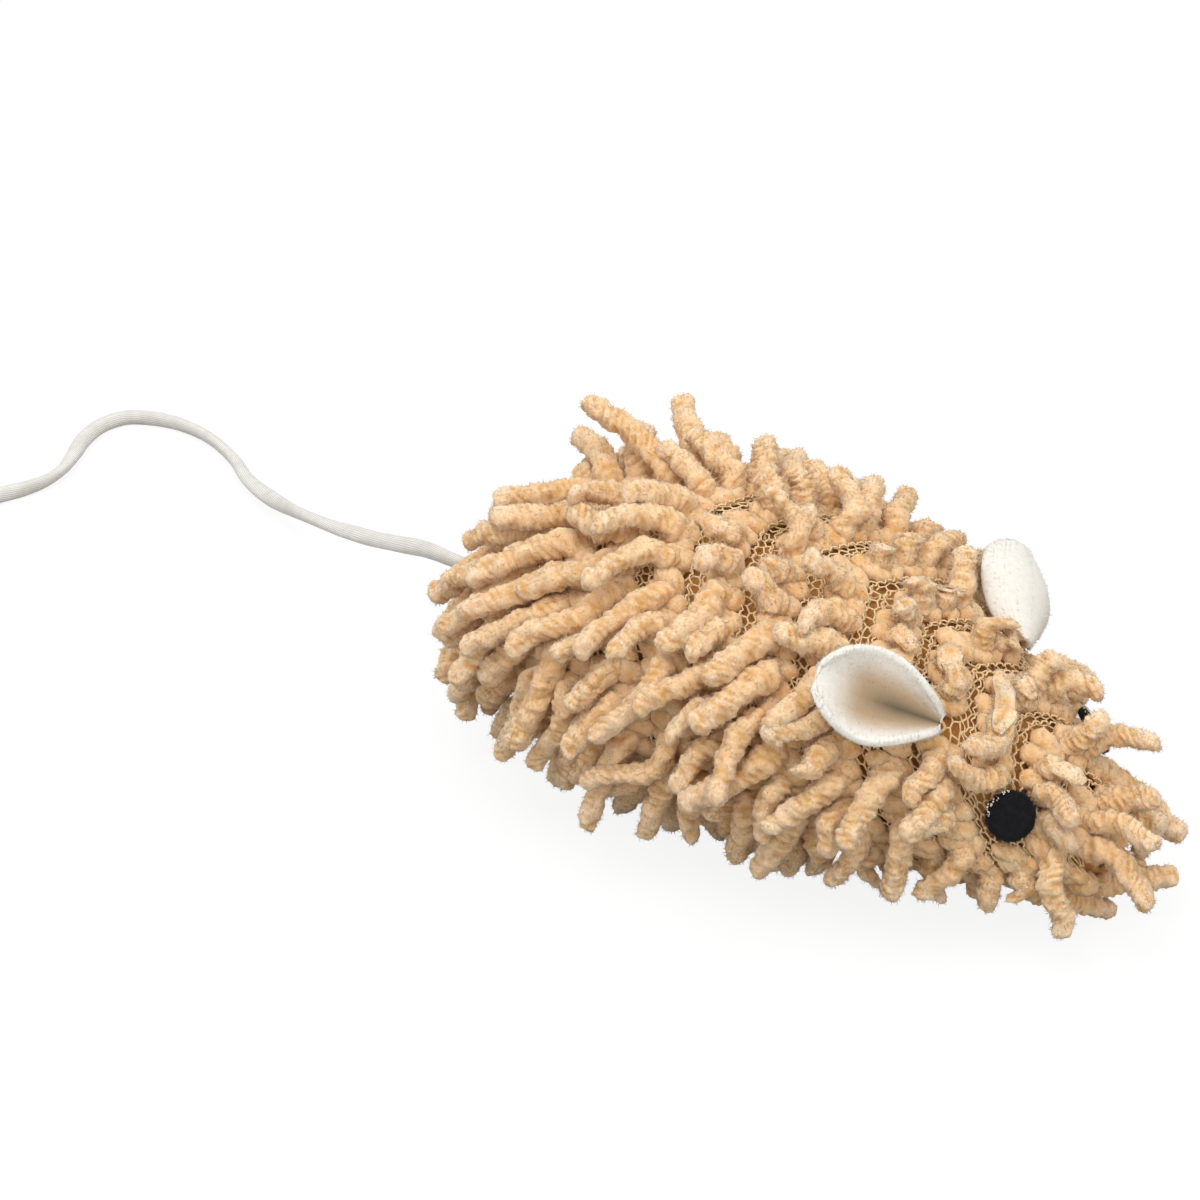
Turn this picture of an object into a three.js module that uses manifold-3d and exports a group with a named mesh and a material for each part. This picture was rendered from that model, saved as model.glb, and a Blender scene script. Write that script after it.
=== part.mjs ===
// A stuffed catnip mouse in noodle pile fabric, with felt ears and eyes and a satin cord tail.
// Millimetres. +X points to the nose, +Y to the mouse's left, +Z up, with the floor at z = 0.
import * as THREE from 'three';
import { mergeVertices } from 'three/addons/utils/BufferGeometryUtils.js';
import Module from 'manifold-3d';

const wasm = await Module();
wasm.setup();

// Body of sewn fabric: an egg that is fullest towards the rump and tapers to a low nose
const RUMP_LENGTH = 32.5;
const HEAD_LENGTH = 55.5;
const BODY_WIDTH = 41.5;
const BODY_HEIGHT = 35.5;
const BELLY_CLEARANCE = 4;
const TAIL_ROOT_HEIGHT = 16.7;
const NOSE_HEIGHT = 7.7;
const CHEEK_FULLNESS = 1.12;
const NOSE_BLUNTNESS = 0.66;
const BELLY_PANEL_WIDTH = 20;

// Layers of the body, from the outside in
const FABRIC_THICKNESS = 1.2;
const LINING_THICKNESS = 0.5;
const FILLING_SLACK = 0.7;
const CLEARANCE = 0.3;

// Pile: chenille fingers in rows that lean forward towards the belly
const NOODLE_DIAMETER = 3.2;
const NOODLE_LENGTH = 15;
const HEAD_NOODLE_LENGTH = 8.5;
const NOSE_NOODLE_LENGTH = 11;
const BELLY_NOODLE_LENGTH = 11;
const NOODLE_PITCH = 6.8;
const BELLY_NOODLE_PITCH = 10;
const ROW_PITCH = 7.2;
const HEAD_ROW_PITCH = 6.4;
const HEAD_ROWS_FROM_NOSE = 30;
const ROW_LEAN = 12;
const ELBOW_HEIGHT = 2;
const SECTION_SHARE = 0.54;
const ROOT_DEPTH = 0.65;
const FLAT_CUT = 0.5;

// Felt ears and eyes
const EAR_LENGTH = 16.7;
const EAR_WIDTH = 10.9;
const EAR_CUP = 3.4;
const EAR_THICKNESS = 1.2;
const EAR_FROM_NOSE = 20.5;
const EAR_ANGLE = 53;
const EAR_TACK_HEIGHT = 0.7;
const EAR_TACK_DIAMETER = 1.6;
const EYE_DIAMETER = 6;
const EYE_THICKNESS = 1.3;
const EYE_FROM_NOSE = 11;
const EYE_ANGLE = 31;
const GLUE_DIAMETER = 4.4;
const GLUE_THICKNESS = 0.5;

// Lie of each ear in degrees: the right one shows its cup, the left one has turned over and shows its back
const RIGHT_EAR = { rise: 8, droop: 17, roll: 0, lifts: [-5, 40] };
const LEFT_EAR = { rise: 20, droop: 43, roll: 180, lifts: [0, 40] };

// Tail of satin cord, caught in the rump
const TAIL_DIAMETER = 2.2;
const TAIL_HOLE_CLEARANCE = 0.8;
const TAIL_WAG = 25;
const TAIL_KNOT_DIAMETER = 6;
const TAIL_KNOT_LENGTH = 4;
const TAIL_REST_HEIGHT = 1.15;

// Sewing thread
const THREAD_DIAMETER = 0.8;
const NOSE_KNOT_DIAMETER = 2;
const NOSE_KNOT_MARGIN = 2;

// Catnip pouch between the two wads of filling
const POUCH_DIAMETER = 21;
const POUCH_THICKNESS = 11;
const POUCH_RIM = 2.5;
const POUCH_SHEET = 0.4;
const POUCH_FORWARD = 3;

// The tail's route: distance behind the tail root, distance to the left, and drop below the hole it leaves by
const ON_FLOOR = Infinity;
const TAIL_ROUTE = [
  [-0.4, 0, 0], [5, 0, -0.1], [10, 0, -0.1], [15, 0.3, 0.1], [20.9, 1.8, 2.3], [26.7, 3.6, 4.6],
  [32.5, 5.5, 6.7], [39.5, 8.4, 9.4], [46.1, 11.1, 11.7], [54.7, 14.8, 14.2], [61.4, 18.2, 15.6],
  [67, 21.7, ON_FLOOR], [73.8, 24.2, ON_FLOOR], [79.7, 24.6, ON_FLOOR], [83.6, 23.8, ON_FLOOR],
  [87.1, 22, ON_FLOOR], [88.7, 18.7, ON_FLOOR],
  [88.4, 14.1, ON_FLOOR], [86.8, 9.9, ON_FLOOR], [85.6, 6.2, ON_FLOOR], [85.6, 2.8, ON_FLOOR],
  [86.8, -0.4, ON_FLOOR], [88.8, -3.8, ON_FLOOR], [91.5, -9, ON_FLOOR], [96, -14, ON_FLOOR],
  [101.5, -18, ON_FLOOR], [107.5, -20.5, ON_FLOOR], [114, -22, ON_FLOOR],
];

// Values that follow from the sizes above
const BODY_LENGTH = RUMP_LENGTH + HEAD_LENGTH;
const MIDDLE_HEIGHT = BELLY_CLEARANCE + BODY_HEIGHT / 2;
const BASE_SEAM_ANGLE = -Math.acos(BELLY_PANEL_WIDTH / BODY_WIDTH);
const THIRD_OF_TURN_SEAM = -Math.PI / 6;
const SEAM_HALF_GAP = THREAD_DIAMETER / 2 + CLEARANCE;
const LINING_DEPTH = FABRIC_THICKNESS + CLEARANCE;
const FILLING_DEPTH = LINING_DEPTH + LINING_THICKNESS + FILLING_SLACK;
const NOODLE_CORNER = NOODLE_DIAMETER * SECTION_SHARE;
const NOODLE_HALF = NOODLE_CORNER * Math.SQRT1_2;
const FLOOR_REST = NOODLE_HALF - FLAT_CUT;
const EAR_SEAT = EAR_TACK_HEIGHT + EAR_THICKNESS / 2 + 2 * CLEARANCE;
const UP = new THREE.Vector3(0, 0, 1);

const radians = THREE.MathUtils.degToRad;
const lerp = THREE.MathUtils.lerp;
const smooth = THREE.MathUtils.smoothstep;

// Materials
const tone = (color, roughness) => new THREE.MeshStandardMaterial({ color, roughness, metalness: 0 });
const CHENILLE = tone(0xdcb788, 0.95);
const WEAVE = tone(0xb5854f, 0.9);
const FIBRE = tone(0xf2efe6, 1);
const WHITE_FELT = tone(0xeeece6, 0.95);
const BLACK_FELT = tone(0x17171a, 0.95);
const SATIN = tone(0xe6e3dc, 0.45);
const THREAD = tone(0xc9a271, 0.7);
const CLEAR_GLUE = tone(0xe9e4d6, 0.25);
const MUSLIN = tone(0xe8dfc8, 0.9);
const HERB = tone(0x6f7d45, 1);

// Share of the full girth at a station, which runs from 0 at the rump to 1 at the nose
function girth(station) {
  const along = station * BODY_LENGTH;
  if (along < RUMP_LENGTH) {
    return Math.sqrt(Math.max(0, 1 - (1 - along / RUMP_LENGTH) ** 2));
  }
  const share = Math.min(1, (along - RUMP_LENGTH) / HEAD_LENGTH);
  return Math.max(0, Math.cos((Math.PI / 2) * share ** CHEEK_FULLNESS)) ** NOSE_BLUNTNESS;
}

// Point of the fabric's outer face. The angle is 0 on the right flank and a quarter turn on the spine.
function surfacePoint(station, angle) {
  const share = girth(station);
  const along = station * BODY_LENGTH - RUMP_LENGTH;
  const endHeight = along < 0 ? TAIL_ROOT_HEIGHT : NOSE_HEIGHT;
  const centre = lerp(endHeight, MIDDLE_HEIGHT, share);
  const across = -(BODY_WIDTH / 2) * share * Math.cos(angle);
  return new THREE.Vector3(along, across, centre + (BODY_HEIGHT / 2) * share * Math.sin(angle));
}

// Unit vectors on the fabric: towards the nose, up round the girth, and out
function surfaceFrame(station, angle) {
  const small = 1e-5;
  const before = Math.max(small, station - small);
  const forward = surfacePoint(before + 2 * small, angle).sub(surfacePoint(before, angle)).normalize();
  const upward = surfacePoint(station, angle + small).sub(surfacePoint(station, angle - small)).normalize();
  const out = forward.clone().cross(upward).normalize();
  return { forward, upward, out };
}

// Fabric point at a depth under the outer face
function layerPoint(station, angle, depth) {
  return surfacePoint(station, angle).addScaledVector(surfaceFrame(station, angle).out, -depth);
}

// Length along the flank from the rump, as a table that is read both ways
const PROFILE_STEPS = 4000;
const profile = [{ station: 0, run: 0 }];
for (let i = 1; i <= PROFILE_STEPS; i += 1) {
  const station = 0.5 - 0.5 * Math.cos((Math.PI * i) / PROFILE_STEPS);
  const last = profile[i - 1];
  const step = surfacePoint(station, 0).distanceTo(surfacePoint(last.station, 0));
  profile.push({ station, run: last.run + step });
}
const FLANK_LENGTH = profile[PROFILE_STEPS].run;

function stationAt(run) {
  const next = profile.findIndex((entry) => entry.run >= run);
  if (next < 1) {
    return profile[next < 0 ? PROFILE_STEPS : 0].station;
  }
  const [a, b] = [profile[next - 1], profile[next]];
  return lerp(a.station, b.station, (run - a.run) / (b.run - a.run));
}

// The panels leave a hole for the tail at the rump and one for the seams' knot at the nose
const RUMP_EDGE = TAIL_DIAMETER / 2 + TAIL_HOLE_CLEARANCE;
const NOSE_EDGE = FLANK_LENGTH - NOSE_KNOT_DIAMETER / 2 - NOSE_KNOT_MARGIN;

// Stations of the fabric's grid, closer together at both ends
const GRID_STEPS = 16;
const END_CROWDING = 0.09;
const gridStations = [];
for (let i = 0; i <= GRID_STEPS; i += 1) {
  const share = i / GRID_STEPS;
  const crowded = share - END_CROWDING * Math.sin(2 * Math.PI * share);
  gridStations.push(stationAt(lerp(RUMP_EDGE, NOSE_EDGE, crowded)));
}

// Angle of the seam between a side panel and the belly panel: three equal shares at the tips
function baseSeam(station) {
  return lerp(THIRD_OF_TURN_SEAM, BASE_SEAM_ANGLE, girth(station));
}

// Angle that spans a short length round the girth
function angleFor(station, angle, length) {
  const share = girth(station);
  const wide = (BODY_WIDTH / 2) * share * Math.sin(angle);
  const high = (BODY_HEIGHT / 2) * share * Math.cos(angle);
  return length / Math.hypot(wide, high);
}

// Edges of a panel at a station, drawn back from its seams
function rightEdges(station, inset) {
  const low = baseSeam(station);
  const top = Math.PI / 2;
  return [low + angleFor(station, low, inset), top - angleFor(station, top, inset)];
}

function leftEdges(station, inset) {
  const [low, top] = rightEdges(station, inset);
  return [Math.PI - top, Math.PI - low];
}

function bellyEdges(station, inset) {
  const right = baseSeam(station);
  const pulled = right - angleFor(station, right, inset);
  return [-Math.PI - pulled, pulled];
}

// Closed mesh from points and triangles
function meshGeometry(points, triangles) {
  const geometry = new THREE.BufferGeometry();
  geometry.setAttribute('position', new THREE.Float32BufferAttribute(points.flatMap((p) => p.toArray()), 3));
  geometry.setIndex(triangles.flat());
  geometry.computeVertexNormals();
  return geometry;
}

// Solid for cutting and joining
function solidFrom(geometry) {
  const bare = geometry.clone();
  bare.deleteAttribute('normal');
  bare.deleteAttribute('uv');
  const merged = mergeVertices(bare, 1e-4);
  const vertProperties = new Float32Array(merged.attributes.position.array);
  const triVerts = new Uint32Array(merged.index.array);
  return new wasm.Manifold(new wasm.Mesh({ numProp: 3, vertProperties, triVerts }));
}

function geometryFrom(solid) {
  const mesh = solid.getMesh();
  const geometry = new THREE.BufferGeometry();
  geometry.setAttribute('position', new THREE.BufferAttribute(new Float32Array(mesh.vertProperties), 3));
  geometry.setIndex(new THREE.BufferAttribute(new Uint32Array(mesh.triVerts), 1));
  geometry.computeVertexNormals();
  return geometry;
}

// Closed solid between two like grids of points, with walls round their rims
function slabGeometry(outer, inner) {
  const rows = outer.length;
  const columns = outer[0].length;
  const points = [...outer.flat(), ...inner.flat()];
  const half = rows * columns;
  const triangles = [];
  const quad = (a, b, c, d) => triangles.push([a, b, c], [a, c, d]);
  const at = (i, j) => i * columns + j;
  for (let i = 0; i < rows - 1; i += 1) {
    for (let j = 0; j < columns - 1; j += 1) {
      const [a, b, c, d] = [at(i, j), at(i + 1, j), at(i + 1, j + 1), at(i, j + 1)];
      quad(a, b, c, d);
      quad(half + a, half + d, half + c, half + b);
    }
  }
  const wall = (a, b) => quad(b, a, half + a, half + b);
  for (let i = 0; i < rows - 1; i += 1) {
    wall(at(i, 0), at(i + 1, 0));
    wall(at(i + 1, columns - 1), at(i, columns - 1));
  }
  for (let j = 0; j < columns - 1; j += 1) {
    wall(at(rows - 1, j), at(rows - 1, j + 1));
    wall(at(0, j + 1), at(0, j));
  }
  return meshGeometry(points, triangles);
}

// Sheet of fabric that follows the body between two depths
function sheetGeometry(edges, columns, outerDepth, innerDepth) {
  const grid = (depth) => gridStations.map((station) => {
    const [low, high] = edges(station, SEAM_HALF_GAP);
    const angles = Array.from({ length: columns + 1 }, (_, j) => lerp(low, high, j / columns));
    return angles.map((angle) => layerPoint(station, angle, depth));
  });
  return slabGeometry(grid(outerDepth), grid(innerDepth));
}

// Repeatable scatter from -1 to 1
function scatter(seed) {
  const value = Math.sin(seed * 12.9898) * 43758.5453;
  return 2 * (value - Math.floor(value)) - 1;
}

// Ears: a leaf that is pinched at the base, round at the end and cupped like a shell
const EAR_ROWS = 8;
const EAR_COLUMNS = 6;
const EAR_TAPER = 0.47;
const EAR_SPREAD = 1.22;
const EAR_ENDS = [0.02, 0.985];

function earPoint(along, across) {
  const breadth = Math.sin(Math.PI * along ** EAR_SPREAD) ** EAR_TAPER;
  const bend = EAR_CUP * breadth * across ** 2;
  return new THREE.Vector3(EAR_LENGTH * along, (EAR_WIDTH / 2) * breadth * across, bend);
}

function earNormal(along, across) {
  const small = 1e-3;
  const lengthways = earPoint(along + small, across).sub(earPoint(along - small, across));
  const sideways = earPoint(along, across + small).sub(earPoint(along, across - small));
  return lengthways.cross(sideways).normalize();
}

function earGrid(lift) {
  const rows = Array.from({ length: EAR_ROWS + 1 }, (_, i) => lerp(EAR_ENDS[0], EAR_ENDS[1], i / EAR_ROWS));
  const columns = Array.from({ length: EAR_COLUMNS + 1 }, (_, j) => lerp(-1, 1, j / EAR_COLUMNS));
  return rows.map((along) => columns.map((across) => (
    earPoint(along, across).addScaledVector(earNormal(along, across), lift)
  )));
}

// Place on the body by distance back from the nose and angle above the flank
function bodyPlace(fromNose, degrees) {
  const station = 1 - fromNose / BODY_LENGTH;
  const angle = radians(degrees);
  return { point: surfacePoint(station, angle), ...surfaceFrame(station, angle) };
}

// The right-hand ear's own axes: X along the ear, Y across it, Z out of the cup. A lift turns it about its seat.
function earMatrix({ rise, droop, roll }, lift) {
  const { point, forward, out } = bodyPlace(EAR_FROM_NOSE, EAR_ANGLE);
  const side = out.clone().cross(forward);
  const along = forward.clone().multiplyScalar(-Math.cos(radians(droop)));
  along.addScaledVector(side, -Math.sin(radians(droop)));
  const across = out.clone().cross(along);
  const seat = point.clone().addScaledVector(out, EAR_SEAT);
  return new THREE.Matrix4().makeBasis(along, across, out).setPosition(seat)
    .multiply(new THREE.Matrix4().makeRotationY(-radians(rise + lift)))
    .multiply(new THREE.Matrix4().makeRotationX(radians(roll)));
}

// Left-hand place of a piece that is alike on both sides of its own X axis
function leftMatrix(matrix) {
  const mirror = new THREE.Matrix4().makeScale(1, -1, 1);
  return mirror.clone().multiply(matrix).multiply(mirror);
}

// Route of the tail from its hole in the rump down to the floor
const TAIL_HOLE_HEIGHT = surfacePoint(stationAt(RUMP_EDGE), 0).z;
const tailPoints = TAIL_ROUTE.map(([back, left, drop]) => {
  const height = Math.max(TAIL_REST_HEIGHT, TAIL_HOLE_HEIGHT - drop);
  return new THREE.Vector3(-RUMP_LENGTH - back, left, height);
});
const tailCurve = new THREE.CatmullRomCurve3(tailPoints);

// Space that the pile leaves free: round the eyes, and where the ears and the tail move
const SWEEP_STEPS = 4;
const TAIL_NEAR_POINTS = 40;
const TAIL_NEAR_LENGTH = 2 * (NOODLE_LENGTH + ELBOW_HEIGHT);
const keepClear = [];

function keepEarClear(ear, placed) {
  for (let i = 0; i <= SWEEP_STEPS; i += 1) {
    const lift = lerp(ear.lifts[0], ear.lifts[1], i / SWEEP_STEPS);
    const matrix = placed(earMatrix(ear, lift));
    for (const point of earGrid(0).flat()) {
      keepClear.push({ point: point.applyMatrix4(matrix), radius: EAR_THICKNESS / 2 + 2 * CLEARANCE });
    }
  }
}

function keepEyesClear() {
  const { point, out } = bodyPlace(EYE_FROM_NOSE, EYE_ANGLE);
  const radius = EYE_DIAMETER / 2 + CLEARANCE;
  for (const height of [0, EYE_THICKNESS, 2 * EYE_THICKNESS]) {
    const centre = point.clone().addScaledVector(out, height);
    keepClear.push({ point: centre, radius }, { point: centre.clone().setY(-centre.y), radius });
  }
}

function keepTailClear() {
  const pivot = tailPoints[0];
  const share = TAIL_NEAR_LENGTH / tailCurve.getLength();
  for (let i = -SWEEP_STEPS; i <= SWEEP_STEPS; i += 1) {
    for (let j = 0; j <= TAIL_NEAR_POINTS; j += 1) {
      const point = tailCurve.getPointAt((share * j) / TAIL_NEAR_POINTS).sub(pivot);
      point.applyAxisAngle(UP, radians((TAIL_WAG * i) / SWEEP_STEPS)).add(pivot);
      keepClear.push({ point, radius: TAIL_DIAMETER / 2 + 2 * CLEARANCE });
    }
  }
}

keepEarClear(RIGHT_EAR, (matrix) => matrix);
keepEarClear(LEFT_EAR, leftMatrix);
keepEyesClear();
keepTailClear();

// One finger of pile: it stands off the fabric to an elbow, then lies over
const AXIS_STEPS = 7;
const FIRST_RISE = 0.6;
const laidNoodles = [];

function axisPoints({ root, elbow, tip }) {
  const rise = [root.clone().lerp(elbow, FIRST_RISE), elbow];
  const reach = Array.from({ length: AXIS_STEPS }, (_, i) => elbow.clone().lerp(tip, (i + 1) / AXIS_STEPS));
  return [...rise, ...reach];
}

function isClear(points) {
  const apart = 2 * NOODLE_CORNER;
  const freeOfPieces = keepClear.every(({ point, radius }) => points.every(
    (p) => p.distanceTo(point) > radius + NOODLE_CORNER,
  ));
  return freeOfPieces && laidNoodles.every((other) => other.every(
    (q) => points.every((p) => p.distanceTo(q) > apart),
  ));
}

// Ways to lay a finger: first its free lay, then turned, lifted and drawn short to clear its neighbours
const SHORTER_SHARES = [1, 0.82, 0.65];
const LIFTS = [0, 9, 18, 27, 36];
const TURNS = [0, 20, -20, 40, -40];
const layWays = [];
for (const shorten of SHORTER_SHARES) {
  for (const lifted of LIFTS) {
    for (const swung of TURNS) {
      layWays.push({ shorten, lifted, swung });
    }
  }
}

function noodleFor({ station, angle, lay, lift, length }, { shorten, lifted, swung }) {
  const { out } = surfaceFrame(station, angle);
  const tilt = radians(lift + lifted);
  const reach = length * shorten - ELBOW_HEIGHT;
  const root = layerPoint(station, angle, ROOT_DEPTH);
  const elbow = surfacePoint(station, angle).addScaledVector(out, ELBOW_HEIGHT);
  elbow.z = Math.max(elbow.z, FLOOR_REST);
  const heading = lay.clone().applyAxisAngle(out, radians(swung));
  const tip = elbow.clone().addScaledVector(heading, Math.cos(tilt) * reach);
  tip.addScaledVector(out, Math.sin(tilt) * reach);
  tip.z = Math.max(tip.z, FLOOR_REST);
  return { root, elbow, tip };
}

// A finger with no room is left out
function layNoodle(place) {
  for (const way of layWays) {
    const noodle = noodleFor(place, way);
    const points = axisPoints(noodle);
    if (isClear(points)) {
      laidNoodles.push(points);
      return noodle;
    }
  }
  return null;
}

// Lay of the pile: back and down on the flanks, more upright on the spine and the crown, forward at the nose
const BACK_SWEEP = 0.74;
const NOSE_SWEEP = -0.9;
const DOWN_SWEEP = 0.85;
const SPINE_SWEEP = 0.4;
const LOW_SWEEP = 1.2;
const FLANK_LIFT = 11;
const SPINE_LIFT = 27;
const CROWN_LIFT = 20;
const BELLY_LIFT = 6;
const LOW_SHARE = 0.8;

// Zones in mm from the nose
const NOSE_ZONE = [4, 13];
const SHORT_ZONE = [14, 60];
const CROWN_ZONE = [26, 56];

// Zones in degrees round the body from the spine
const SPINE_ZONE = [5, 40];
const CROWN_WIDTH = [30, 80];
const LOW_ZONE = [60, 105];
const TURN_SCATTER = 0.2;
const LIFT_SCATTER = 5;
const LENGTH_SCATTER = 1.2;

// The left of the head is brushed forward further back than the right
const BRUSHED_ZONE = [6, 20];
const LEFT_BRUSHED_ZONE = [10, 36];
const RIGHT_PILE = {
  edges: rightEdges, upSign: 1, noseZone: BRUSHED_ZONE, pitch: NOODLE_PITCH, firstSeed: 0,
};
const LEFT_PILE = {
  edges: leftEdges, upSign: -1, noseZone: LEFT_BRUSHED_ZONE, pitch: NOODLE_PITCH, firstSeed: 1500,
};
const BELLY_PILE = {
  edges: bellyEdges, upSign: 1, noseZone: BRUSHED_ZONE, pitch: BELLY_NOODLE_PITCH, firstSeed: 3000,
};

function pileAt({ upSign, noseZone }, { run, angle, seed }) {
  const station = stationAt(run);
  const fromNose = FLANK_LENGTH - run;
  const fromSpine = Math.abs(THREE.MathUtils.radToDeg(angle) - 90);
  const spine = 1 - smooth(fromSpine, ...SPINE_ZONE);
  const low = smooth(fromSpine, ...LOW_ZONE);
  const crown = (1 - smooth(fromNose, ...CROWN_ZONE)) * (1 - smooth(fromSpine, ...CROWN_WIDTH));
  const back = lerp(NOSE_SWEEP, BACK_SWEEP, smooth(fromNose, ...noseZone));
  const sideSweep = lerp(DOWN_SWEEP, LOW_SWEEP, low);
  const down = lerp(sideSweep, SPINE_SWEEP, spine) + TURN_SCATTER * scatter(seed);
  const { forward, upward } = surfaceFrame(station, angle);
  const lay = forward.clone().multiplyScalar(-back).addScaledVector(upward, -down * upSign).normalize();
  const flatness = lerp(FLANK_LIFT, SPINE_LIFT, spine) + CROWN_LIFT * crown;
  const lift = flatness + LIFT_SCATTER * scatter(seed + 0.37);
  const headLength = lerp(NOSE_NOODLE_LENGTH, HEAD_NOODLE_LENGTH, smooth(fromNose, ...NOSE_ZONE));
  const full = lerp(headLength, NOODLE_LENGTH, smooth(fromNose, ...SHORT_ZONE));
  const length = full * lerp(1, LOW_SHARE, low) + LENGTH_SCATTER * scatter(seed + 0.71);
  return { station, angle, lay, lift, length };
}

// Rows of roots over one panel, with every second row moved by half a pitch
const ROOT_INSET = SEAM_HALF_GAP + NOODLE_CORNER + CLEARANCE;
const FIRST_RUN = RUMP_EDGE + NOODLE_CORNER + CLEARANCE;
const LAST_RUN = NOSE_EDGE - NOODLE_CORNER - CLEARANCE;
const ROOT_SCATTER = 0.5;
const SEEDS_PER_ROW = 40;

function rowRuns() {
  const runs = [FIRST_RUN - ROW_LEAN];
  while (runs.at(-1) < LAST_RUN + ROW_LEAN) {
    const onHead = runs.at(-1) > FLANK_LENGTH - HEAD_ROWS_FROM_NOSE;
    runs.push(runs.at(-1) + (onHead ? HEAD_ROW_PITCH : ROW_PITCH));
  }
  return runs;
}

function rowRoots({ edges, upSign, pitch, firstSeed }) {
  const roots = [];
  for (const [row, rowRun] of rowRuns().entries()) {
    const station = stationAt(Math.min(LAST_RUN, Math.max(FIRST_RUN, rowRun)));
    const [low, high] = edges(station, ROOT_INSET);
    const step = angleFor(station, (low + high) / 2, pitch);
    const start = upSign > 0 ? high : low;
    const count = Math.floor((high - low) / step - (row % 2) / 2) + 1;
    for (let i = 0; i < count; i += 1) {
      const angle = start - upSign * step * (i + (row % 2) / 2);
      const seed = firstSeed + row * SEEDS_PER_ROW + i;
      const lean = ROW_LEAN * girth(station) * Math.sin(angle);
      const run = rowRun - lean + ROOT_SCATTER * scatter(seed + 0.13);
      if (run >= FIRST_RUN && run <= LAST_RUN) {
        const [nearLow, nearHigh] = edges(stationAt(run), ROOT_INSET);
        roots.push({ run, angle: THREE.MathUtils.clamp(angle, nearLow, nearHigh), seed });
      }
    }
  }
  return roots;
}

function sideNoodles(pile) {
  return rowRoots(pile).map((root) => layNoodle(pileAt(pile, root))).filter(Boolean);
}

// Belly pile is pressed flat under the body
function bellyNoodles() {
  const places = rowRoots(BELLY_PILE).map((root) => pileAt(BELLY_PILE, root));
  const pressed = { lift: BELLY_LIFT, length: BELLY_NOODLE_LENGTH };
  return places.map((place) => layNoodle({ ...place, ...pressed })).filter(Boolean);
}

// A finger of square section along its bent axis, tapered at the tip
const TIP_TAPER = 0.8;

function noodleGeometry({ root, elbow, tip }) {
  const rise = elbow.clone().sub(root).normalize();
  const reach = tip.clone().sub(elbow).normalize();
  const side = rise.clone().cross(reach).normalize();
  const ring = (centre, along, size) => {
    const other = along.clone().cross(side).normalize();
    return [[1, 1], [-1, 1], [-1, -1], [1, -1]].map(([a, b]) => centre.clone()
      .addScaledVector(side, a * size)
      .addScaledVector(other, b * size));
  };
  const points = [
    ...ring(root, rise, NOODLE_HALF),
    ...ring(elbow, rise.clone().add(reach).normalize(), NOODLE_HALF),
    ...ring(tip, reach, NOODLE_HALF * TIP_TAPER),
  ];
  const triangles = [[0, 2, 1], [0, 3, 2], [8, 9, 10], [8, 10, 11]];
  for (const start of [0, 4]) {
    for (let i = 0; i < 4; i += 1) {
      const [a, b] = [start + i, start + ((i + 1) % 4)];
      triangles.push([a, b, b + 4], [a, b + 4, a + 4]);
    }
  }
  return meshGeometry(points, triangles);
}

// Nothing reaches below the floor, and what rests on it is flat
const FLOOR_SPAN = 4 * BODY_LENGTH;
const aboveFloor = solidFrom(new THREE.BoxGeometry(FLOOR_SPAN, FLOOR_SPAN, FLOOR_SPAN)
  .translate(0, 0, FLOOR_SPAN / 2));

function pileSolid(sheet, noodles) {
  let solid = solidFrom(sheet);
  for (const noodle of noodles) {
    solid = solid.add(solidFrom(noodleGeometry(noodle)));
  }
  return solid.intersect(aboveFloor);
}

// Panels and linings
const SIDE_COLUMNS = 8;
const BELLY_COLUMNS = 4;

function panelGeometry(edges, columns, noodles) {
  return geometryFrom(pileSolid(sheetGeometry(edges, columns, 0, FABRIC_THICKNESS), noodles));
}

function liningSheet(edges, columns) {
  return sheetGeometry(edges, columns, LINING_DEPTH, LINING_DEPTH + LINING_THICKNESS);
}

// Wad of filling between two stations, closed by flat ends
const WAD_ROWS = 7;
const WAD_COLUMNS = 20;
const TIP_FREE = 9;

function wadGeometry(firstAlong, lastAlong) {
  const rings = Array.from({ length: WAD_ROWS + 1 }, (_, i) => {
    const station = (lerp(firstAlong, lastAlong, i / WAD_ROWS) + RUMP_LENGTH) / BODY_LENGTH;
    const turn = (2 * Math.PI) / WAD_COLUMNS;
    return Array.from({ length: WAD_COLUMNS }, (_unused, j) => layerPoint(station, turn * j, FILLING_DEPTH));
  });
  const points = rings.flat();
  const at = (i, j) => i * WAD_COLUMNS + (j % WAD_COLUMNS);
  const triangles = [];
  for (let i = 0; i < WAD_ROWS; i += 1) {
    for (let j = 0; j < WAD_COLUMNS; j += 1) {
      triangles.push([at(i, j), at(i + 1, j), at(i + 1, j + 1)], [at(i, j), at(i + 1, j + 1), at(i, j + 1)]);
    }
  }
  for (let j = 1; j < WAD_COLUMNS - 1; j += 1) {
    triangles.push([at(0, 0), at(0, j), at(0, j + 1)]);
    triangles.push([at(WAD_ROWS, 0), at(WAD_ROWS, j + 1), at(WAD_ROWS, j)]);
  }
  return meshGeometry(points, triangles);
}

// Pouch shapes are turned about the body's length, with the flat rim between the two wads
const POUCH_SIDES = 16;
const POUCH_ARC = 4;
const RECESS_OVERLAP = 1;
const POUCH_HEIGHT = POUCH_THICKNESS / 2 - POUCH_SHEET;
const RIM_RADIUS = POUCH_DIAMETER / 2 + POUCH_RIM;

function domeProfile(radius, height, base) {
  return Array.from({ length: POUCH_ARC + 1 }, (_, i) => {
    const share = i / POUCH_ARC;
    return new THREE.Vector2(radius * share, lerp(base, height, 1 - share ** 2));
  });
}

function lathed(profilePoints, sides) {
  const geometry = new THREE.LatheGeometry(profilePoints, sides);
  return geometry.rotateZ(-Math.PI / 2);
}

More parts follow.
